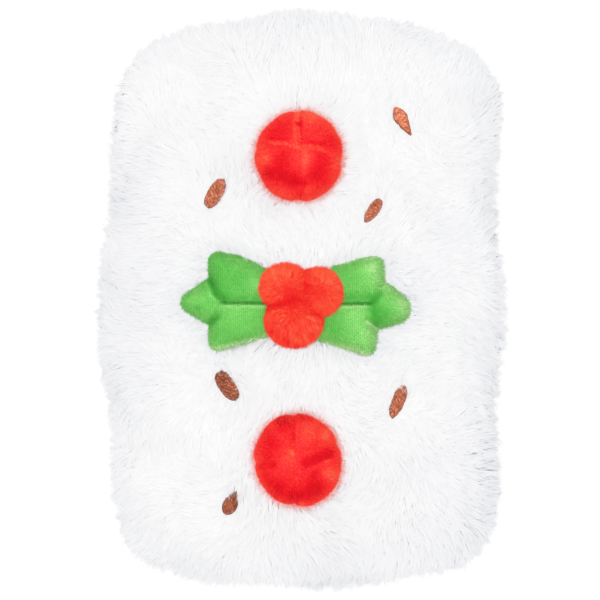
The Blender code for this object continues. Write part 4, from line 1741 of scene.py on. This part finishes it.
grow_pile("fur_top_far", 54000, lambda p, n: (facing(n) == 0) & (p[:, 1] > 0))
grow_pile("fur_top_near", 54000, lambda p, n: (facing(n) == 0) & (p[:, 1] <= 0))
grow_pile("fur_side_right", 26000, lambda p, n: (facing(n) == 1) & (n[:, 0] > 0))
grow_pile("fur_side_left", 26000, lambda p, n: (facing(n) == 1) & (n[:, 0] < 0))
grow_pile("fur_end_far", 17000, lambda p, n: (facing(n) == 2) & (n[:, 1] > 0))
grow_pile("fur_end_near", 17000, lambda p, n: (facing(n) == 2) & (n[:, 1] < 0))
grow_pile("fur_underside", 6500, lambda p, n: facing(n) == 3, UNDERSIDE_PILE)

# %% [markdown]
# Where the loaf is widest, the pile sticks out in small pointed locks, which make the toy's ragged
# outline. Longer fibres alone would make it a fuzzy one. So the locks are grown apart from the rest:
# each is a round bunch of fibres that meet in one point.

# %% Locks at the outline
LOCKS = 640
LOCK_FIBRES = 28
LOCK_LEVEL = 0.078  # the height that they grow round
LOCK_BAND = 0.022  # and how far above and below it
LOCK_HALF_WIDTH = 0.0027
LOCK_REACH = (0.0050, 0.0100)
LOCK_ASIDE = 0.0016
LOCK_DROP = (0.001, 0.006)
LOCK_POINT = 0.0008  # how loosely the tips meet
LOCK_BOW = 0.0008
LOCK_LIFT = 1.5  # for the locks: as PILE_LIFT, and the painted shade as on the sides
LOCK_PAINTED_SHADE = 0.66


def grow_locks():
    places, out = sow(skin.data, LOCKS, pile_draw, lambda p, n: np.abs(p[:, 2] - LOCK_LEVEL) < LOCK_BAND)
    side = unit(np.cross(out, (0, 0, 1)))
    reach = pile_draw.uniform(*LOCK_REACH, LOCKS)[:, None]
    points = places + out * reach + side * pile_draw.normal(0, LOCK_ASIDE, (LOCKS, 1))
    points[:, 2] -= pile_draw.uniform(*LOCK_DROP, LOCKS)
    lock = np.repeat(np.arange(LOCKS), LOCK_FIBRES)
    count = len(lock)
    angle = pile_draw.uniform(0, 2 * np.pi, count)
    spread = LOCK_HALF_WIDTH * np.sqrt(pile_draw.uniform(0, 1, count))
    across = side[lock] * (spread * np.cos(angle))[:, None]
    up = np.cross(side, out)[lock] * (spread * np.sin(angle))[:, None]
    roots = places[lock] + across + up
    tips = points[lock] + LOCK_POINT * pile_draw.normal(size=roots.shape)
    bends = roots * 0.5 + tips * 0.5 + out[lock] * LOCK_BOW + (across + up) * 0.25
    finish_pile("fur_locks", roots, bends, tips, out[lock], LOCK_LIFT, LOCK_PAINTED_SHADE)


grow_locks()

# %% [markdown]
# A few single hairs of the pile have strayed over two of the nuts, and short hairs cross the edges of
# most nuts, so that these sink softly into the fur. The pile itself is kept off the nuts, since its
# broad blades would hide them, so these thin hairs are laid one by one on each nut's dome.

# %% Hairs over the nuts
WISP_WIDTH = 0.00013
WISP_LIFT = 0.0006
WISP_TURN = 14  # how much their turns differ, in degrees
WISPS = {
    # how many, from where to where along the nut and across it, their turn from its long axis, length
    5: (34, (0.50, 1.05), (-0.9, 0.9), 165, 0.0030),
    6: (26, (0.10, 1.0), (-0.8, 0.7), 172, 0.0034),
}
FUZZY_NUTS = (2, 3, 4, 5, 6)
RIM_WISPS = 110  # the hairs that cross the edge of each of these nuts
RIM_WISP_OUT = 1.14  # where such a hair starts, where 1 is the nut's edge
RIM_WISP_IN = (0.66, 0.95)  # where it ends
RIM_WISP_ASIDE = 0.0012
RIM_STEPS = 3  # a nut isn't quite an oval, so places on its edge are found in steps


def across_rim(shape, draw):
    """Three places on each hair: outside a nut's edge, on it and inside."""
    angle = draw.uniform(0, 2 * np.pi, RIM_WISPS)
    rim = shape[0][1] * np.column_stack([np.cos(angle), np.sin(angle)])
    for step in range(RIM_STEPS):
        rim = rim / nut_reach(rim, shape)[:, None]
    aside = np.column_stack([-np.sin(angle), np.cos(angle)]) * draw.normal(0, RIM_WISP_ASIDE, (RIM_WISPS, 1))
    inner = rim * draw.uniform(*RIM_WISP_IN, (RIM_WISPS, 1)) + aside
    return rim * RIM_WISP_OUT - 0.5 * aside, rim, inner


def over_nut(facts, shape, draw):
    """Three places on each hair that lies over a nut."""
    count, along, across, turn, length = facts
    middle = np.column_stack([draw.uniform(*along, count), draw.uniform(*across, count)]) * shape[0]
    angle = np.radians(turn + draw.normal(0, WISP_TURN, count))
    half = length * draw.uniform(0.6, 1.1, (count, 1)) / 2
    half = np.column_stack([np.cos(angle), np.sin(angle)]) * half
    return middle - half, middle + half * 0.1, middle + half


def lay_wisps(draw):
    laid = [(number, over_nut(facts, nuts[number][2], draw)) for number, facts in WISPS.items()]
    laid += [(number, across_rim(nuts[number][2], draw)) for number in FUZZY_NUTS]
    points = []
    ups = []
    for number, places in laid:
        centre, axes, shape = nuts[number]
        lines = [on_dome(place, WISP_LIFT, shape) @ axes.T + centre for place in places]
        points.append(np.stack(lines, 1))
        ups.append(np.repeat(axes[:, 2][None], len(lines[0]), 0))
    roots, bends, tips = np.concatenate(points).transpose(1, 0, 2)
    widths = np.full(len(roots), WISP_WIDTH)
    piece = blades("fur_wisps", roots, bends, tips, widths, np.concatenate(ups), draw)
    settle(piece, "fur_loaf", white_fur, 1.0)


lay_wisps(pile_draw)
print("all pieces have", total_triangles, "triangles")

# %% [markdown]
# ## Floor and light
# The floor is a plain pale sheet that glows a little, like a light table, so that no shadow shows beside
# the toy. The light is soft, as in a white tent: one wide lamp almost straight above gives the pieces
# their form, a weak one stands to the right, and bright surroundings fill the shadows. A picture of a
# real studio could light the toy too, but two lamps are easier to balance. White fur is quickly burnt
# out, so the view has a tone curve with a soft shoulder.


# %% Floor
FLOOR_GLOW = 0.29
FLOOR_SIDE = 8.0
FLOOR_GAP = 0.0005  # how far it lies below the toy


def make_floor():
    bpy.ops.mesh.primitive_plane_add(size=FLOOR_SIDE, location=(0, 0, -FLOOR_GAP))
    floor = bpy.context.object
    floor.name = "floor"
    values = {"Roughness": 0.9, "Emission Color": (1, 1, 1, 1), "Emission Strength": FLOOR_GLOW}
    material, nodes, links, shader = new_finish("floor", values)
    noise = noise_around_zero(nodes, links, 3.0, 2.0, 1.0)
    ramp = colour_ramp(nodes, [(0.96, 0.96, 0.96, 1), (0.98, 0.98, 0.98, 1)])
    links.new(noise, ramp.inputs["Fac"])
    links.new(ramp.outputs["Color"], shader.inputs["Base Color"])
    floor.data.materials.append(material)
    floor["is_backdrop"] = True


make_floor()


# %% Lamps and surroundings
LIT_PLACE = Vector((0, 0, 0.1))


def soft_lamp(name, place, size, power):
    data = bpy.data.lights.new(name, "AREA")
    data.size = size
    data.energy = power
    lamp = bpy.data.objects.new(name, data)
    lamp.location = place
    lamp.rotation_euler = (LIT_PLACE - Vector(place)).to_track_quat("-Z", "Y").to_euler()
    bpy.context.collection.objects.link(lamp)


soft_lamp("ceiling", (-0.08, 0.03, 2.6), size=0.9, power=55.5)
soft_lamp("key", (0.8, 1.1, 1.9), size=1.0, power=3.0)
world = bpy.data.worlds.new("studio")
world.use_nodes = True
set_inputs(world.node_tree.nodes["Background"], {"Color": (0.97, 0.98, 1.0, 1), "Strength": 0.67})
bpy.context.scene.world = world

# %% Tone curve
BRIGHTEST = 1.2  # the light that the curve turns into full white
SHOULDER = ((0.5, 0.54), (0.7, 0.80), (0.8, 0.868), (0.9, 0.912), (1.0, 0.945), (1.1, 0.972))
ALL_COLOURS = 3  # the curve mapping's fourth curve acts on all three colours
view = bpy.context.scene.view_settings
view.view_transform = "Standard"
view.use_curve_mapping = True
view.curve_mapping.white_level = (BRIGHTEST, BRIGHTEST, BRIGHTEST)
for light_in, light_out in SHOULDER:
    view.curve_mapping.curves[ALL_COLOURS].points.new(light_in / BRIGHTEST, light_out)
view.curve_mapping.update()

# %% Sizes and the end
visual_box = [list(corner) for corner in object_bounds()]
print("the toy fills", np.round(np.subtract(visual_box[1], visual_box[0]) * 1000), "mm")
